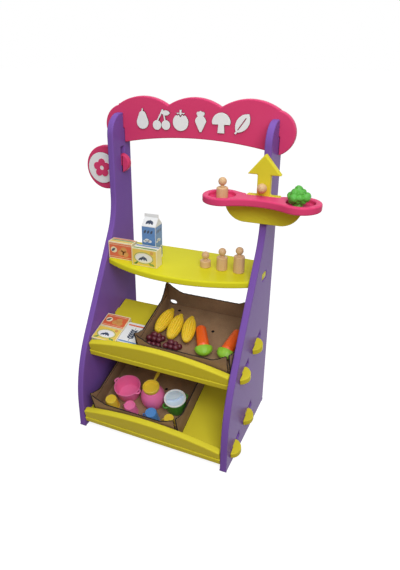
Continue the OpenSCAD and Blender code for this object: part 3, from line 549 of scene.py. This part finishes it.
def ragged_wall(long, seed):
    """Outline of a tray's wall: a torn rim that rises to a peak at both corners."""
    # A point about every 3 mm
    count = int(long / 3)
    points = [(0.0, 0.0), (long, 0.0)]
    for i in range(count, -1, -1):
        along = long * i / count
        near = min(along, long - along)
        climb = max(0.0, min(1.0, 1 - (near - PEAK_FLAT) / PEAK_RUN)) ** 1.3
        # Wide tears are about 6 mm long and fine ones 2 mm
        wide_tear = noise.noise(Vector((along * 0.16, seed, 0.5)))
        fine_tear = noise.noise(Vector((along * 0.45, seed, 7.5)))
        tear = (wide_tear + 0.6 * fine_tear) * min(1.0, near / 6) * (0.8 + 4.0 * climb)
        points.append((along, TRAY_WALL + (TRAY_PEAK - TRAY_WALL) * climb + tear))
    return points


def torn_end(place, foot, top, seed):
    """The upright torn end of a wall, from its foot up."""
    steps = 12
    heights = [foot + (top - foot) * i / steps for i in range(1, steps)]
    return [(place + 2.4 * noise.noise(Vector((h * 0.14, seed, place))), h) for h in heights]


def split_corners(outline, long, seed):
    """The wall's outline with its ends torn off short of the corners."""
    gap, foot = 9.0, 10.0
    rim = [(x, h) for x, h in outline if gap <= x <= long - gap and h > foot]
    right = torn_end(long - gap, foot, rim[0][1], seed)
    left = torn_end(gap, foot, rim[-1][1], seed)
    return [(0.0, 0.0), (long, 0.0), (long, foot)] + right + rim + left[::-1] + [(0.0, foot)]


def hand_hole(x, y):
    """Outline of a hand hole: two half rounds with a straight part between them."""
    loop = []
    for end, first in ((GRIP_HALF, -90), (-GRIP_HALF, 90)):
        for step in range(10):
            a = math.radians(first + 20 * step)
            loop.append((x + end + GRIP_R * math.cos(a), y + GRIP_R * math.sin(a)))
    return loop


def card_tray(node, seed):
    """A die-cut tray: torn rims with dark cut edges, corner peaks, folded flaps, hand and air holes."""
    low, high = place_of(node, SLOPE)
    wide, deep = (high.x - low.x) / MM, (high.y - low.y) / MM
    peak = TRAY_PEAK - CARD
    shape = bmesh.new()

    def from_foot(x, y):
        """A point on the upper side of the floor."""
        return low + Vector((x, y, CARD)) * MM

    spots = [(LEFT_VENT[0], deep - LEFT_VENT[1]), (wide - RIGHT_VENT[0], deep - RIGHT_VENT[1])]
    vents = [ellipse(x, y, VENT_R, VENT_R, 20) for x, y in spots]
    cut_sheet(shape, bar(0, 0, wide, deep), vents, from_foot(0, 0), X, Y, CARD)
    # A dark disc under each air hole paints the shade seen in the hole
    for vent in vents:
        cut_sheet(shape, vent, [], low + Vector((0, 0, HOLE_SHADE_DISC * MM)), X, Y, HOLE_SHADE_DISC, face_finish=1)
    front = split_corners([(x, h - CARD) for x, h in ragged_wall(wide, seed)], wide, seed)
    back = [(x, max(h - CARD, 0.0)) for x, h in ragged_wall(wide, seed + 1)]
    grips = [hand_hole(x, GRIP_UP - CARD) for x in (GRIP_IN, wide - GRIP_IN)]
    cut_sheet(shape, front, [], from_foot(0, 0), X, Z, CARD)
    cut_sheet(shape, back, grips, from_foot(0, deep - CARD), X, Z, CARD)
    for x, number in ((0.0, 2), (wide - CARD, 3)):
        side = [(y, h - CARD) for y, h in ragged_wall(deep, seed + number) if CARD <= y <= deep - CARD]
        side = [(CARD, 0.0), (deep - CARD, 0.0), (deep - CARD, peak)] + side + [(CARD, peak)]
        cut_sheet(shape, side, [], from_foot(x + CARD, 0), Y, Z, CARD)
    flap_wide = CORNER_FLAP[1][0]
    for x in (CARD, wide - CARD - flap_wide):
        cut_sheet(shape, CORNER_FLAP, [], from_foot(x, CARD + FLAP), X, Z, FLAP)
    lining = [(LINING_FOOT_IN, 0), (deep - LINING_FOOT_IN, 0)]
    lining += [(deep - LINING_TOP_IN, LINING_TALL), (LINING_TOP_IN, LINING_TALL)]
    for x in (CARD + FLAP, wide - CARD):
        cut_sheet(shape, lining, [], from_foot(x, 0), Y, Z, FLAP)
    show("folded_" + node, turned(shape, SLOPE), [kraft, kraft_edge_and_hole_shade], node, crease=25)


card_tray("upper_tray", seed=2.0)
card_tray("lower_tray", seed=12.0)


# Play food

# Rows of kernels round a cob, kernels in a row, and points to a kernel each way
CORN_ROWS, CORN_KERNELS, KERNEL_POINTS = 14, 22, 6
# Share of a cob's length that has kernels, and the stub beyond as shares of its radius and length
KERNEL_SHARE = 0.91
CORN_STUB = ((0.42, 0.92), (0.36, 0.93), (0.35, 0.98), (0.29, 0.998))
GRAPE_R = 9.5 * MM
# Grapes of a bunch as row from the back, place in the row and layer, each in steps
GRAPE_PLACES = (
    *((0, -1, 0), (0, 0, 0), (0, 1, 0)),
    *((1, -0.5, 0), (1, 0.5, 0)),
    *((2, -0.9, 0), (2, 0, 0), (2, 0.9, 0)),
    *((1 / 3, -0.5, 1), (1 / 3, 0.5, 1)),
    *((4 / 3, -0.95, 1), (4 / 3, 0, 1), (4 / 3, 0.95, 1)),
    (0.75, 0, 1.65),
)
# Profiles of a bunch's stem and of the broccoli's stalk, as radius and height in millimetres
STEM = ((0.0, -6), (2.2, -6), (1.8, 4), (2.6, 8), (0.0, 8.6))
STALK = ((0.0, 0), (13, 0), (14, 1.5), (13, 10), (16, 20), (0.0, 22))
# Tiers of florets from the top: distance out, count, radius and distance down, in millimetres
FLORETS = ((0, 1, 11.0, 0.0), (12, 5, 10.0, 8.5), (20, 8, 10.0, 19.5), (16, 7, 8.0, 30.0))


def lying(node, turn):
    """Frame of a round piece that lies on a tray's floor, its near end, its radius and its length."""
    frame_turn = SLOPE @ Matrix.Rotation(math.radians(turn), 4, "Z")
    low, high = place_of(node, frame_turn)
    radius = (high.z - low.z) / 2
    near_end = Vector(((low.x + high.x) / 2, low.y, low.z + radius))
    return frame_turn, near_end, radius, high.y - low.y


def corn(node, turn):
    """A moulded cob: rows of kernels round a tapering core, and a stub at the stalk end."""
    frame_turn, near_end, radius, length = lying(node, turn)
    around, steps = CORN_ROWS * KERNEL_POINTS, CORN_KERNELS * KERNEL_POINTS
    shape = bmesh.new()

    def ring_at(y, radii):
        """A ring of points round the cob."""
        ring = []
        for i, r in enumerate(radii):
            a = 2 * math.pi * i / around
            ring.append(shape.verts.new(near_end + Vector((r * math.sin(a), y, r * math.cos(a)))))
        return ring

    rings = [[shape.verts.new(near_end + Vector((0, 0.001 * length, 0)))]]
    for k in range(1, steps + 1):
        t = k / steps
        # An oval core, widest a little past its middle
        core = radius * 0.97 * math.sqrt(max(0.02, 1 - (abs(2 * t - 1.06) / 1.06) ** 2))
        kernel = (k / KERNEL_POINTS) % 1
        radii = []
        for i in range(around):
            row = (i / KERNEL_POINTS) % 1
            # A kernel is domed across its row and flatter along it
            swell = (1 - abs(2 * row - 1) ** 3) * (1 - 0.4 * abs(2 * kernel - 1) ** 3)
            radii.append(core * (0.87 + 0.16 * swell))
        rings.append(ring_at(t * KERNEL_SHARE * length, radii))
    for share, y in CORN_STUB:
        rings.append(ring_at(y * length, [radius * share] * around))
    rings.append([shape.verts.new(near_end + Vector((0, length, 0)))])
    skin(shape, rings)
    show("moulded_" + node, turned(shape, frame_turn), [corn_plastic], node, crease=60)


def grapes(node):
    """A bunch: a heap of round grapes pressed together, with a stub of stem behind."""
    low, high = place_of(node, SLOPE)
    step = (high.x - low.x - 2 * GRAPE_R) / 2
    row_step = (high.y - low.y - 2 * GRAPE_R) / 2
    layer_step = high.z - low.z - 2 * GRAPE_R
    back = Vector(((low.x + high.x) / 2, high.y - GRAPE_R, low.z + GRAPE_R))
    shape = bmesh.new()
    for row, place, layer in GRAPE_PLACES:
        at = back + Vector((place * step, -row * row_step, layer * layer_step))
        sway = noise.noise_vector(at * 90) * 0.6 * MM
        sway.z = abs(sway.z)
        ball(shape, at + sway, GRAPE_R * (0.99 + 0.05 * noise.noise(at * 70)))
    first_of_stem = len(shape.faces)
    stem_top = STEM[-1][1] * MM
    stem_foot = Vector((back.x - step * 0.5, back.y, high.z - stem_top))
    lathe(shape, [(r * MM, h * MM) for r, h in STEM], stem_foot, steps=16)
    shape.faces.ensure_lookup_table()
    for face in shape.faces[first_of_stem:]:
        face.material_index = 1
    finishes = [grape_plastic, stem_plastic]
    show("moulded_" + node, turned(shape, SLOPE), finishes, node, crease=80)


def carrot(node, turn):
    """A blunt moulded carrot with shallow rings."""
    frame_turn, near_end, radius, length = lying(node, turn)
    steps = 60
    profile = [(0.0, 0.0)]
    for k in range(steps + 1):
        t = k / steps
        taper = radius * (1.0 - 0.2 * t**1.2)
        foot = min(1.0, 0.8 + t * 4)
        tip = math.sqrt(max(0.0, 1 - max(0.0, (t - 0.88) / 0.12) ** 2))
        groove = 1 - 0.025 * max(0.0, math.sin(t * 34 + 1.2 * math.sin(t * 9))) ** 6
        profile.append((taper * foot * tip * groove, t * length))
    shape = bmesh.new()
    lathe(shape, profile, near_end, axis="Y", steps=48)
    show("moulded_" + node, turned(shape, frame_turn), [carrot_plastic], node, crease=50)


def carrot_top(node, turn):
    """A carrot's tuft of leaf, as a fluted dome."""
    frame_turn = SLOPE @ Matrix.Rotation(math.radians(turn), 4, "Z")
    low, high = place_of(node, frame_turn)
    wide, deep, thick = (high.x - low.x) / 2, high.y - low.y, (high.z - low.z) / 2
    middle = Vector(((low.x + high.x) / 2, high.y, (low.z + high.z) / 2))
    shape = bmesh.new()
    around, along = 72, 16
    rings = [[shape.verts.new(middle)]]
    for k in range(along):
        b = math.pi / 2 * k / along
        ring = []
        for i in range(around):
            a = 2 * math.pi * i / around
            flute = 1 - 0.05 * abs(math.sin(a * 5 + 0.6)) * math.sin(b * 2) ** 0.5
            x = wide * math.cos(a) * math.cos(b) * flute
            z = thick * math.sin(a) * math.cos(b) * flute
            ring.append(shape.verts.new(middle + Vector((x, -deep * math.sin(b), z))))
        rings.append(ring)
    rings.append([shape.verts.new(middle + Vector((0, -deep, 0)))])
    skin(shape, rings)
    show("moulded_" + node, turned(shape, frame_turn), [leaf_plastic], node, crease=60)


def broccoli(node):
    """A moulded head: a cone of florets on a short stalk, all in one bumpy skin."""
    low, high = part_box(node)
    middle = (low + high) / 2
    foot = Vector((middle.x, middle.y, low.z))
    tall = high.z - low.z
    shape = bmesh.new()
    for out, count, lump, down in FLORETS:
        for i in range(count):
            a = 2 * math.pi * (i + 0.3 * out / 10) / count
            wobble = 1 + 0.12 * math.sin(i * 2.7 + out)
            at = Vector((out * math.cos(a) * wobble, out * math.sin(a) * wobble, -down - lump)) * MM
            ball(shape, foot + Vector((0, 0, tall)) + at, lump * wobble * MM)
    # A lump in the middle closes the gaps between the florets
    ball(shape, foot + Vector((0, 0, 27 * MM)), 18 * MM)
    lathe(shape, [(r * MM, h * MM) for r, h in STALK], foot, steps=40)
    piece = show("moulded_" + node, shape, [broccoli_plastic], node, crease=180)
    piece.modifiers.clear()
    whole = piece.modifiers.new("one skin", "REMESH")
    whole.mode = "VOXEL"
    whole.voxel_size = 1.0 * MM
    soft = piece.modifiers.new("moulded softness", "SMOOTH")
    soft.factor = 0.5
    soft.iterations = 3
    made = bpy.data.meshes.new_from_object(
        piece.evaluated_get(bpy.context.evaluated_depsgraph_get())
    )
    for v, normal in [(v, v.normal.copy()) for v in made.vertices]:
        v.co += normal * 0.9 * MM * noise.noise((v.co - foot) * 190)
    piece.modifiers.clear()
    piece.data = made
    for polygon in made.polygons:
        polygon.use_smooth = True


for side, angle in (("left", -5), ("middle", 2), ("right", 11)):
    corn("corn_" + side, angle)
for side in ("left", "right"):
    grapes("grapes_" + side)
for side, angle in (("left", 26), ("right", -7)):
    carrot("carrot_" + side, angle)
    carrot_top("carrot_" + side + "_top", angle)
broccoli("broccoli")


# Packs and carton, in millimetres

PACK_INKS = [cream_print, red_print, tan_print, dark_print]
PACK_INKS += [green_print, yellow_print, white_print, blue_print]
CREAM, RED, TAN, DARK, GREEN, YELLOW, WHITE, BLUE = range(8)
# Depth to which a skin of ink goes into the board
INK_SEAT = 0.3
# Carton: height of its eaves, rise of the gable and half the thickness of the fin on top
EAVES, GABLE_RISE, FIN_HALF = 112, 22, 1.5


def leaf(x, y, long, wide, turn, steps=8):
    """Outline of a printed leaf that starts at a point."""
    points = []
    for i in range(steps):
        t = i / steps
        points.append((long * t, wide * math.sin(math.pi * t) / 2))
    for i in range(steps):
        t = 1 - i / steps
        points.append((long * t, -wide * math.sin(math.pi * t) / 2))
    return placed(points, turn, x, y)


def press(shape, corner, right, up):
    """The press for one face of a pack. It prints outlines that are measured from the corner."""
    out = right.cross(up)

    def print_on(outline, ink, lift=0.12):
        """One printed area: a skin of ink that is lifted above the face and the ink under it."""
        top = [shape.verts.new(corner + (right * x + up * y + out * lift) * MM) for x, y in outline]
        base = [shape.verts.new(corner + (right * x + up * y - out * INK_SEAT) * MM) for x, y in outline]
        prism(shape, base, top, ink)

    return print_on


def biscuit_pack(front, lid):
    """Red front with three round biscuits and a badge; a striped lid."""
    front(bar(3, 3, 78, 49), RED)
    front(bar(3, 47, 78, 1.2), CREAM, 0.2)
    front(bar(3, 7, 78, 1.2), CREAM, 0.2)
    for x, y in ((44, 22), (60, 20), (54, 33)):
        front(ellipse(x, y, 10.5, 9), TAN, 0.26)
        for i in range(6):
            a = i * math.pi / 3
            front(ellipse(x + 5.6 * math.cos(a), y + 4.8 * math.sin(a), 1, 1, 10), RED, 0.32)
    front(ellipse(19, 30, 11, 10), CREAM, 0.26)
    front(leaf(10, 24, 19, 8, 38), DARK, 0.32)
    lid(bar(3, 4, 78, 9), YELLOW)
    lid(bar(3, 16, 78, 6), GREEN)
    lid(bar(3, 25, 78, 6), RED)


def oval_pack(front, lid):
    """Yellow front with a pale oval in a green ring, leaves round it and a sun spot."""
    front(bar(2.5, 2.5, 79, 51), YELLOW)
    front(ellipse(40, 27, 32, 18.5, 48), GREEN, 0.18)
    front(ellipse(40, 27, 30, 16.8, 48), CREAM, 0.24)
    front(ellipse(40, 27, 26.5, 13.6, 48), WHITE, 0.3)
    for x, turn in ((22, 40), (32, 70), (42, 96), (52, 124)):
        front(leaf(x, 18, 16, 6.5, turn), DARK, 0.36)
    front(ellipse(67, 46, 5.5, 5.5), TAN, 0.24)
    for x, turn in ((6, 20), (14, 60), (66, 130), (76, 150)):
        front(leaf(x, 5, 13, 6, turn), GREEN, 0.24)
    lid(bar(3, 3, 78, 8), GREEN)
    lid(bar(3, 14, 78, 5), WHITE)
    lid(bar(3, 22, 78, 8), BLUE)


def grain_pack(front, lid):
    """White front with a dark ear of grain under a red band."""
    low, high = place_of("flour_pack", SLOPE)
    wide, tall = (high.x - low.x) / MM, (high.y - low.y) / MM
    front(bar(6, tall - 14, wide - 12, 6), RED)
    front(bar(wide / 2 - 0.8, 10, 1.6, tall - 30), DARK)
    for i in range(5):
        for turn in (35, 145):
            front(leaf(wide / 2, 20 + 7.5 * i, 15, 6.5, turn), DARK, 0.2)
    front(bar(3, 3, wide - 6, 5), BLUE)
    lid(bar(3, 3, wide - 6, 8), BLUE)


def folded_box(node, base, art, turn, standing):
    """A glued boxboard pack with soft creases and its printed areas."""
    shape = turned(solid_of(node), turn.inverted())
    round_edges(shape, 0.8 * MM, 2)
    low, high = place_of(node, turn)
    for face in shape.faces:
        face.material_index = base
    near_side = press(shape, low, X, Z)
    upper_side = press(shape, Vector((low.x, low.y, high.z)), X, Y)
    if standing:
        art(near_side, upper_side)
    else:
        art(upper_side, near_side)
    show("folded_" + node, turned(shape, turn), PACK_INKS, node, crease=30)


def gable_carton(node):
    """A gable-top carton: white board, blue sides with clouds and leaves, leaves on the gable."""
    low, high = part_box(node)
    wide = (high.x - low.x) / MM
    shape = solid_of(node)
    round_edges(shape, 0.7 * MM, 2)
    for face in shape.faces:
        face.material_index = WHITE
    front = press(shape, low, X, Z)
    right_side = press(shape, Vector((high.x, low.y, low.z)), Y, Z)
    back = press(shape, Vector((high.x, high.y, low.z)), -X, Z)
    left_side = press(shape, Vector((low.x, high.y, low.z)), -Y, Z)
    for side in (front, right_side, back, left_side):
        side(bar(1.0, 9, wide - 2, 101), BLUE)
    for side in (front, right_side):
        for x, y, size in ((11, 63, 6), (18, 67, 8), (27, 64, 7), (33, 38, 5), (38, 40, 5.5), (13, 30, 5)):
            side(ellipse(x, y, size, size * 0.62, 20), WHITE, 0.2)
        for x in (8, 19, 30):
            side(leaf(x, 88, 14, 7, 60), DARK, 0.2)
            side(leaf(x + 3, 12, 11, 5, 110), DARK, 0.2)
    # The gable rises while it runs in to the fin
    slope_up = Vector((0, wide / 2 - FIN_HALF, GABLE_RISE)).normalized()
    gable = press(shape, Vector((low.x, low.y, low.z + EAVES * MM)), X, slope_up)
    for x, turn in ((12, 60), (23.5, 90), (35, 120)):
        gable(leaf(x, 6, 17, 9, turn), DARK, 0.25)
    show("folded_" + node, shape, PACK_INKS, node, crease=30)


folded_box("pack_red_upright", CREAM, biscuit_pack, LEVEL, standing=True)
folded_box("pack_yellow_upright", CREAM, oval_pack, LEVEL, standing=True)
folded_box("pack_red_flat", CREAM, biscuit_pack, SLOPE, standing=False)
folded_box("pack_yellow_flat", CREAM, oval_pack, SLOPE, standing=False)
folded_box("flour_pack", WHITE, grain_pack, SLOPE, standing=False)
gable_carton("milk_carton")


# Play dishes

WALL = 2.5 * MM
# Jug's belly, from its foot up, in millimetres
JUG_BELLY = [(31.9, 0.0), (37.0, 11.9), (39.0, 26.4), (37.0, 42.9), (30.6, 58.0), (27.5, 64.6)]
# Lid's grip: half its width and length in millimetres, and its turn in degrees
LID_GRIP_WIDE, LID_GRIP_LONG, LID_GRIP_TURN = 9, 25, -50
# Radius at which the lid's sunk face meets its bead, in millimetres
LID_FACE_R = 29.6


def rolled_dish(shape, centre, foot, rim, tall, mouth_down=False):
    """A moulded dish with a foot ring, a slightly bellied wall and a rolled rim."""
    bead, ease, recess = WALL * 0.75, foot * 0.06, 1.2 * MM

    def wall_at(t):
        """Radius of the bellied wall at a share of its height."""
        return foot + (rim - foot) * t + 0.02 * rim * math.sin(math.pi * t)

    shares = [k / 8 for k in range(1, 8)]
    profile = [(0.0, recess), (foot * 0.72, recess), (foot * 0.76, 0.0), (foot - ease, 0.0)]
    profile += arc(ease, -80, 0, 3, ease, foot - ease)
    profile += [(wall_at(t) - bead * 0.4 * t, tall * t) for t in shares]
    profile += arc(bead, -70, 200, 9, tall - bead, rim - bead)
    profile += [(wall_at(t) - WALL, max(WALL * 1.6, tall * t)) for t in reversed(shares)]
    profile += [(foot * 0.86 - WALL, WALL), (0.0, WALL)]
    if mouth_down:
        profile = [(r, tall - h) for r, h in profile]
    lathe(shape, profile, centre)


def ring_lug(shape, centre, ring, rod, plane, reach):
    """A round rod bent to a ring in the given plane, as far round as the wall that it leaves."""
    along, across = 28, 12
    first, second, third = (plane.to_3x3() @ axis for axis in (X, Y, Z))
    rings = []
    for i in range(along + 1):
        a = math.radians(reach) * (2 * i / along - 1)
        out = first * math.cos(a) + second * math.sin(a)
        turns = [2 * math.pi * k / across for k in range(across)]
        spots = [centre + out * (ring + rod * math.cos(b)) + third * rod * math.sin(b) for b in turns]
        rings.append([shape.verts.new(spot) for spot in spots])
    skin(shape, rings)
    shape.faces.new(rings[0])
    shape.faces.new(rings[-1][::-1])


def lug_at(shape, centre, angle, out, height, ring, rod, standing=False):
    """A ring lug beside a dish, level or standing up."""
    a = math.radians(angle)
    spot = centre + Vector((out * math.cos(a), out * math.sin(a), height))
    plane = Matrix.Rotation(a, 4, "Z")
    if standing:
        plane = plane @ Matrix.Rotation(math.radians(90), 4, "X")
    ring_lug(shape, spot, ring, rod, plane, reach=110 if standing else 100)


def pot(node, material, foot, rim, tall, turn, lug_height):
    """An open pot with a level ring lug on each side. Sizes in millimetres."""
    centre = foot_centre(node, SLOPE)
    shape = bmesh.new()
    rolled_dish(shape, centre, foot * MM, rim * MM, tall * MM)
    for angle in (turn, turn + 180):
        lug_at(shape, centre, angle, 0.96 * rim * MM, lug_height * MM, ring=9 * MM, rod=3 * MM)
    show("moulded_" + node, turned(shape, SLOPE), [material], node, crease=50)


def cup(node, material, angle, share=1.0):
    """A cup standing on its mouth, with a ring lug up its side."""
    centre = foot_centre(node, SLOPE)
    rim, tall = 23 * share * MM, 38 * share * MM
    shape = bmesh.new()
    rolled_dish(shape, centre, 0.78 * rim, rim, tall, mouth_down=True)
    ring, rod = 7 * share * MM, 2.2 * share * MM
    lug_at(shape, centre, angle, 0.93 * rim, 0.45 * tall, ring, rod, standing=True)
    show("moulded_" + node, turned(shape, SLOPE), [material], node, crease=50)


def moulded_bar(shape, centre, outline, low, high, radius):
    """A flat moulded bar with rounded edges, from its outline and two heights, in millimetres."""
    made = bmesh.new()
    base = [made.verts.new(centre + Vector((x, y, low)) * MM) for x, y in outline]
    top = [made.verts.new(centre + Vector((x, y, high)) * MM) for x, y in outline]
    prism(made, base, top)
    round_edges(made, radius * MM, 4, 50)
    take_in(shape, made)


def eased(points, steps=5):
    """A smooth run through the points of a profile."""
    run = []
    count = len(points)
    for i in range(count - 1):
        before, start, end, after = (points[max(0, min(count - 1, i + k))] for k in (-1, 0, 1, 2))
        for n in range(steps):
            t = n / steps
            spot = []
            for b, s, e, f in zip(before, start, end, after):
                bend = (2 * b - 5 * s + 4 * e - f) * t * t + (3 * s - b - 3 * e + f) * t**3
                spot.append(s + 0.5 * ((e - b) * t + bend))
            run.append(tuple(spot))
    run.append(points[-1])
    return run


def jug(node):
    """A round-bellied jug drawn in to its mouth."""
    centre = foot_centre(node, SLOPE)
    wall, thick = eased(JUG_BELLY), WALL / MM
    foot_ring = [(0.0, 1.0), (28.5, 1.0), (29.5, 0.0)]
    lip = arc(1.3, 0, 180, 6, level=64.7, reach=26.2)
    inner = [(max(0.0, r - thick), h) for r, h in reversed(wall) if h > 3]
    profile = foot_ring + wall + lip + inner + [(0.0, thick)]
    shape = bmesh.new()
    lathe(shape, [(r * MM, h * MM) for r, h in profile], centre)
    show("moulded_" + node, turned(shape, SLOPE), [pink_plastic], node, crease=50)


def skillet(node):
    """A small frying pan with a flat handle that widens to a round end."""
    centre = foot_centre(node, SLOPE)
    shape = bmesh.new()
    rolled_dish(shape, centre, foot=25.5 * MM, rim=27 * MM, tall=14 * MM)
    end_r, end_at = 5, 57.5
    handle = [(-3.4, 24.8), (3.4, 24.8), (3.2, 32), (end_r, 52)]
    for angle in range(0, 181, 20):
        a = math.radians(angle)
        handle.append((end_r * math.cos(a), end_at + end_r * math.sin(a)))
    handle += [(-end_r, 52), (-3.2, 32)]
    moulded_bar(shape, centre, handle, low=8, high=13, radius=1.6)
    show("moulded_" + node, turned(shape, SLOPE), [yellow_plastic], node, crease=50)


def pot_lid(node):
    """A lid with a white bead round its rim, a sunk face and a wide raised band to hold it by."""
    centre = foot_centre(node, SLOPE)
    face = [(0.0, 1.6), (28.0, 1.6), (LID_FACE_R, 2.0)]
    bead = [(30.4, 3.0)] + arc(2.0, 180, 0, 8, 3.2, 32.6) + [(34.9, 1.2), (33.8, 0.0), (0.0, 0.0)]
    shape = bmesh.new()
    lathe(shape, [(r * MM, h * MM) for r, h in face + bead], centre)
    # The sunk face takes the darker, bluer polythene: its tint, and also painted shade where the face
    # sinks below the bead
    for item in shape.faces:
        out = (item.calc_center_median() - centre).xy.length
        item.material_index = 1 if out > LID_FACE_R * MM else 0
    grip = []
    for side in (1, -1):
        for step in range(12):
            t = side * (step / 6 - 1)
            grip.append((LID_GRIP_WIDE * side * (1 - t * t), LID_GRIP_LONG * t))
    moulded_bar(shape, centre, placed(grip, LID_GRIP_TURN), low=1.2, high=11, radius=3.0)
    finishes = [lid_tint_and_shade_plastic, rim_plastic]
    show("moulded_" + node, turned(shape, SLOPE), finishes, node, crease=50)


pot("pink_pot", pink_plastic, foot=35.2, rim=44, tall=44, turn=-13, lug_height=41)
jug("pink_jug")
skillet("yellow_pan")
pot("green_pot", green_plastic, foot=30.6, rim=34, tall=46, turn=50, lug_height=34.5)
pot_lid("white_lid")
cup("yellow_cup", yellow_plastic, angle=145)
cup("pink_cup", pink_plastic, angle=170)
cup("blue_cup", blue_plastic, angle=187)
cup("small_cup", yellow_plastic, angle=187, share=0.85)


# Floor and light

# Half the side of the floor, and the point that the lights face
FLOOR_HALF = 15
LIGHT_AIM = Vector((0.0, 0.0, 0.5))


def background_share(tree):
    """One for rays that see the background directly, in a gloss or through something clear."""
    path = add(tree, "ShaderNodeLightPath")
    rays = {0: path.outputs["Is Camera Ray"], 1: path.outputs["Is Glossy Ray"]}
    seen = add(tree, "ShaderNodeMath", rays, operation="MAXIMUM").outputs["Value"]
    rays = {0: seen, 1: path.outputs["Is Transmission Ray"]}
    return add(tree, "ShaderNodeMath", rays, operation="MAXIMUM").outputs["Value"]


def studio_floor():
    """A matt white floor that runs into the background and keeps a soft shadow."""
    material, tree, place = new_material("matt white studio paper")
    # Paper grain drawn 4 mm wide
    grain = add(tree, "ShaderNodeTexNoise", {"Vector": place, "Scale": 1000 / 4, "Detail": 2.0})
    tones = {SHARE: grain.outputs["Fac"], FIRST: srgb("#94806A"), SECOND: srgb("#98846E")}
    paper = add(tree, "ShaderNodeMix", tones, data_type="RGBA")
    plain = add(tree, "ShaderNodeBsdfDiffuse", {"Color": paper.outputs[MIXED]})
    shaded = add(tree, "ShaderNodeBsdfDiffuse", {"Color": srgb("#A8A8A8")})
    glow = add(tree, "ShaderNodeEmission", {"Color": srgb("#FFFFFF"), "Strength": 0.86})
    bright = add(tree, "ShaderNodeAddShader", {0: shaded.outputs[0], 1: glow.outputs[0]})
    # Light bounces off the plain tone; the camera and the gloss see the bright one
    both = add(
        tree,
        "ShaderNodeMixShader",
        {0: background_share(tree), 1: plain.outputs[0], 2: bright.outputs[0]},
    )
    add(tree, "ShaderNodeOutputMaterial", {"Surface": both.outputs[0]})
    shape = bmesh.new()
    bmesh.ops.create_grid(shape, x_segments=1, y_segments=1, size=FLOOR_HALF)
    bmesh.ops.translate(shape, verts=shape.verts, vec=Vector((0, 0, cad_low[2])))
    mesh = bpy.data.meshes.new("studio_floor")
    shape.to_mesh(mesh)
    shape.free()
    mesh.materials.append(material)
    floor = bpy.data.objects.new("studio_floor", mesh)
    bpy.context.scene.collection.objects.link(floor)


def white_studio():
    """A world that shows white, and lights the object less than it shows."""
    world = bpy.data.worlds.new("white studio")
    world.use_nodes = True
    tree = world.node_tree
    tree.nodes.clear()
    ambient = add(tree, "ShaderNodeBackground", {"Color": srgb("#FFFFFF"), "Strength": 0.4})
    white = add(tree, "ShaderNodeBackground", {"Color": srgb("#FFFFFF"), "Strength": 1.0})
    surround = add(
        tree,
        "ShaderNodeMixShader",
        {0: background_share(tree), 1: ambient.outputs[0], 2: white.outputs[0]},
    )
    add(tree, "ShaderNodeOutputWorld", {"Surface": surround.outputs[0]})
    bpy.context.scene.world = world


def soft_box(name, place, size, power):
    """A square soft light turned to the middle of the stall."""
    data = bpy.data.lights.new(name, "AREA")
    data.size = size
    data.energy = power
    lamp = bpy.data.objects.new(name, data)
    lamp.location = place
    lamp.rotation_euler = (LIGHT_AIM - Vector(place)).to_track_quat("-Z", "Y").to_euler()
    bpy.context.scene.collection.objects.link(lamp)


studio_floor()
white_studio()
soft_box("overhead light", (0.1, 0.1, 2.7), size=1.6, power=13.0)
soft_box("light from the front", (1.05, -1.65, 2.3), size=1.4, power=38.0)


# Camera at the photograph's viewing angle, fitted to the corners of the stall

CAMERA_AT = (0.5861, -1.3213, 1.1714)
CAMERA_TURN, CAMERA_PITCH, CAMERA_ROLL = (math.radians(a) for a in (27.48, 24.69, -1.68))

camera_data = bpy.data.cameras.new("camera")
camera_data.sensor_width = 36.0
camera_data.sensor_fit = "AUTO"
camera_data.lens = 34.04
camera_data.shift_x = 0.0917
camera_data.shift_y = -0.0136
camera = bpy.data.objects.new("camera", camera_data)
camera.rotation_mode = "XYZ"
aim = Matrix.Rotation(CAMERA_TURN, 4, "Z") @ Matrix.Rotation(math.pi / 2 - CAMERA_PITCH, 4, "X")
camera.matrix_world = Matrix.Translation(CAMERA_AT) @ aim @ Matrix.Rotation(CAMERA_ROLL, 4, "Z")
bpy.context.scene.collection.objects.link(camera)
bpy.context.scene.camera = camera
bpy.context.scene.view_settings.view_transform = "Standard"
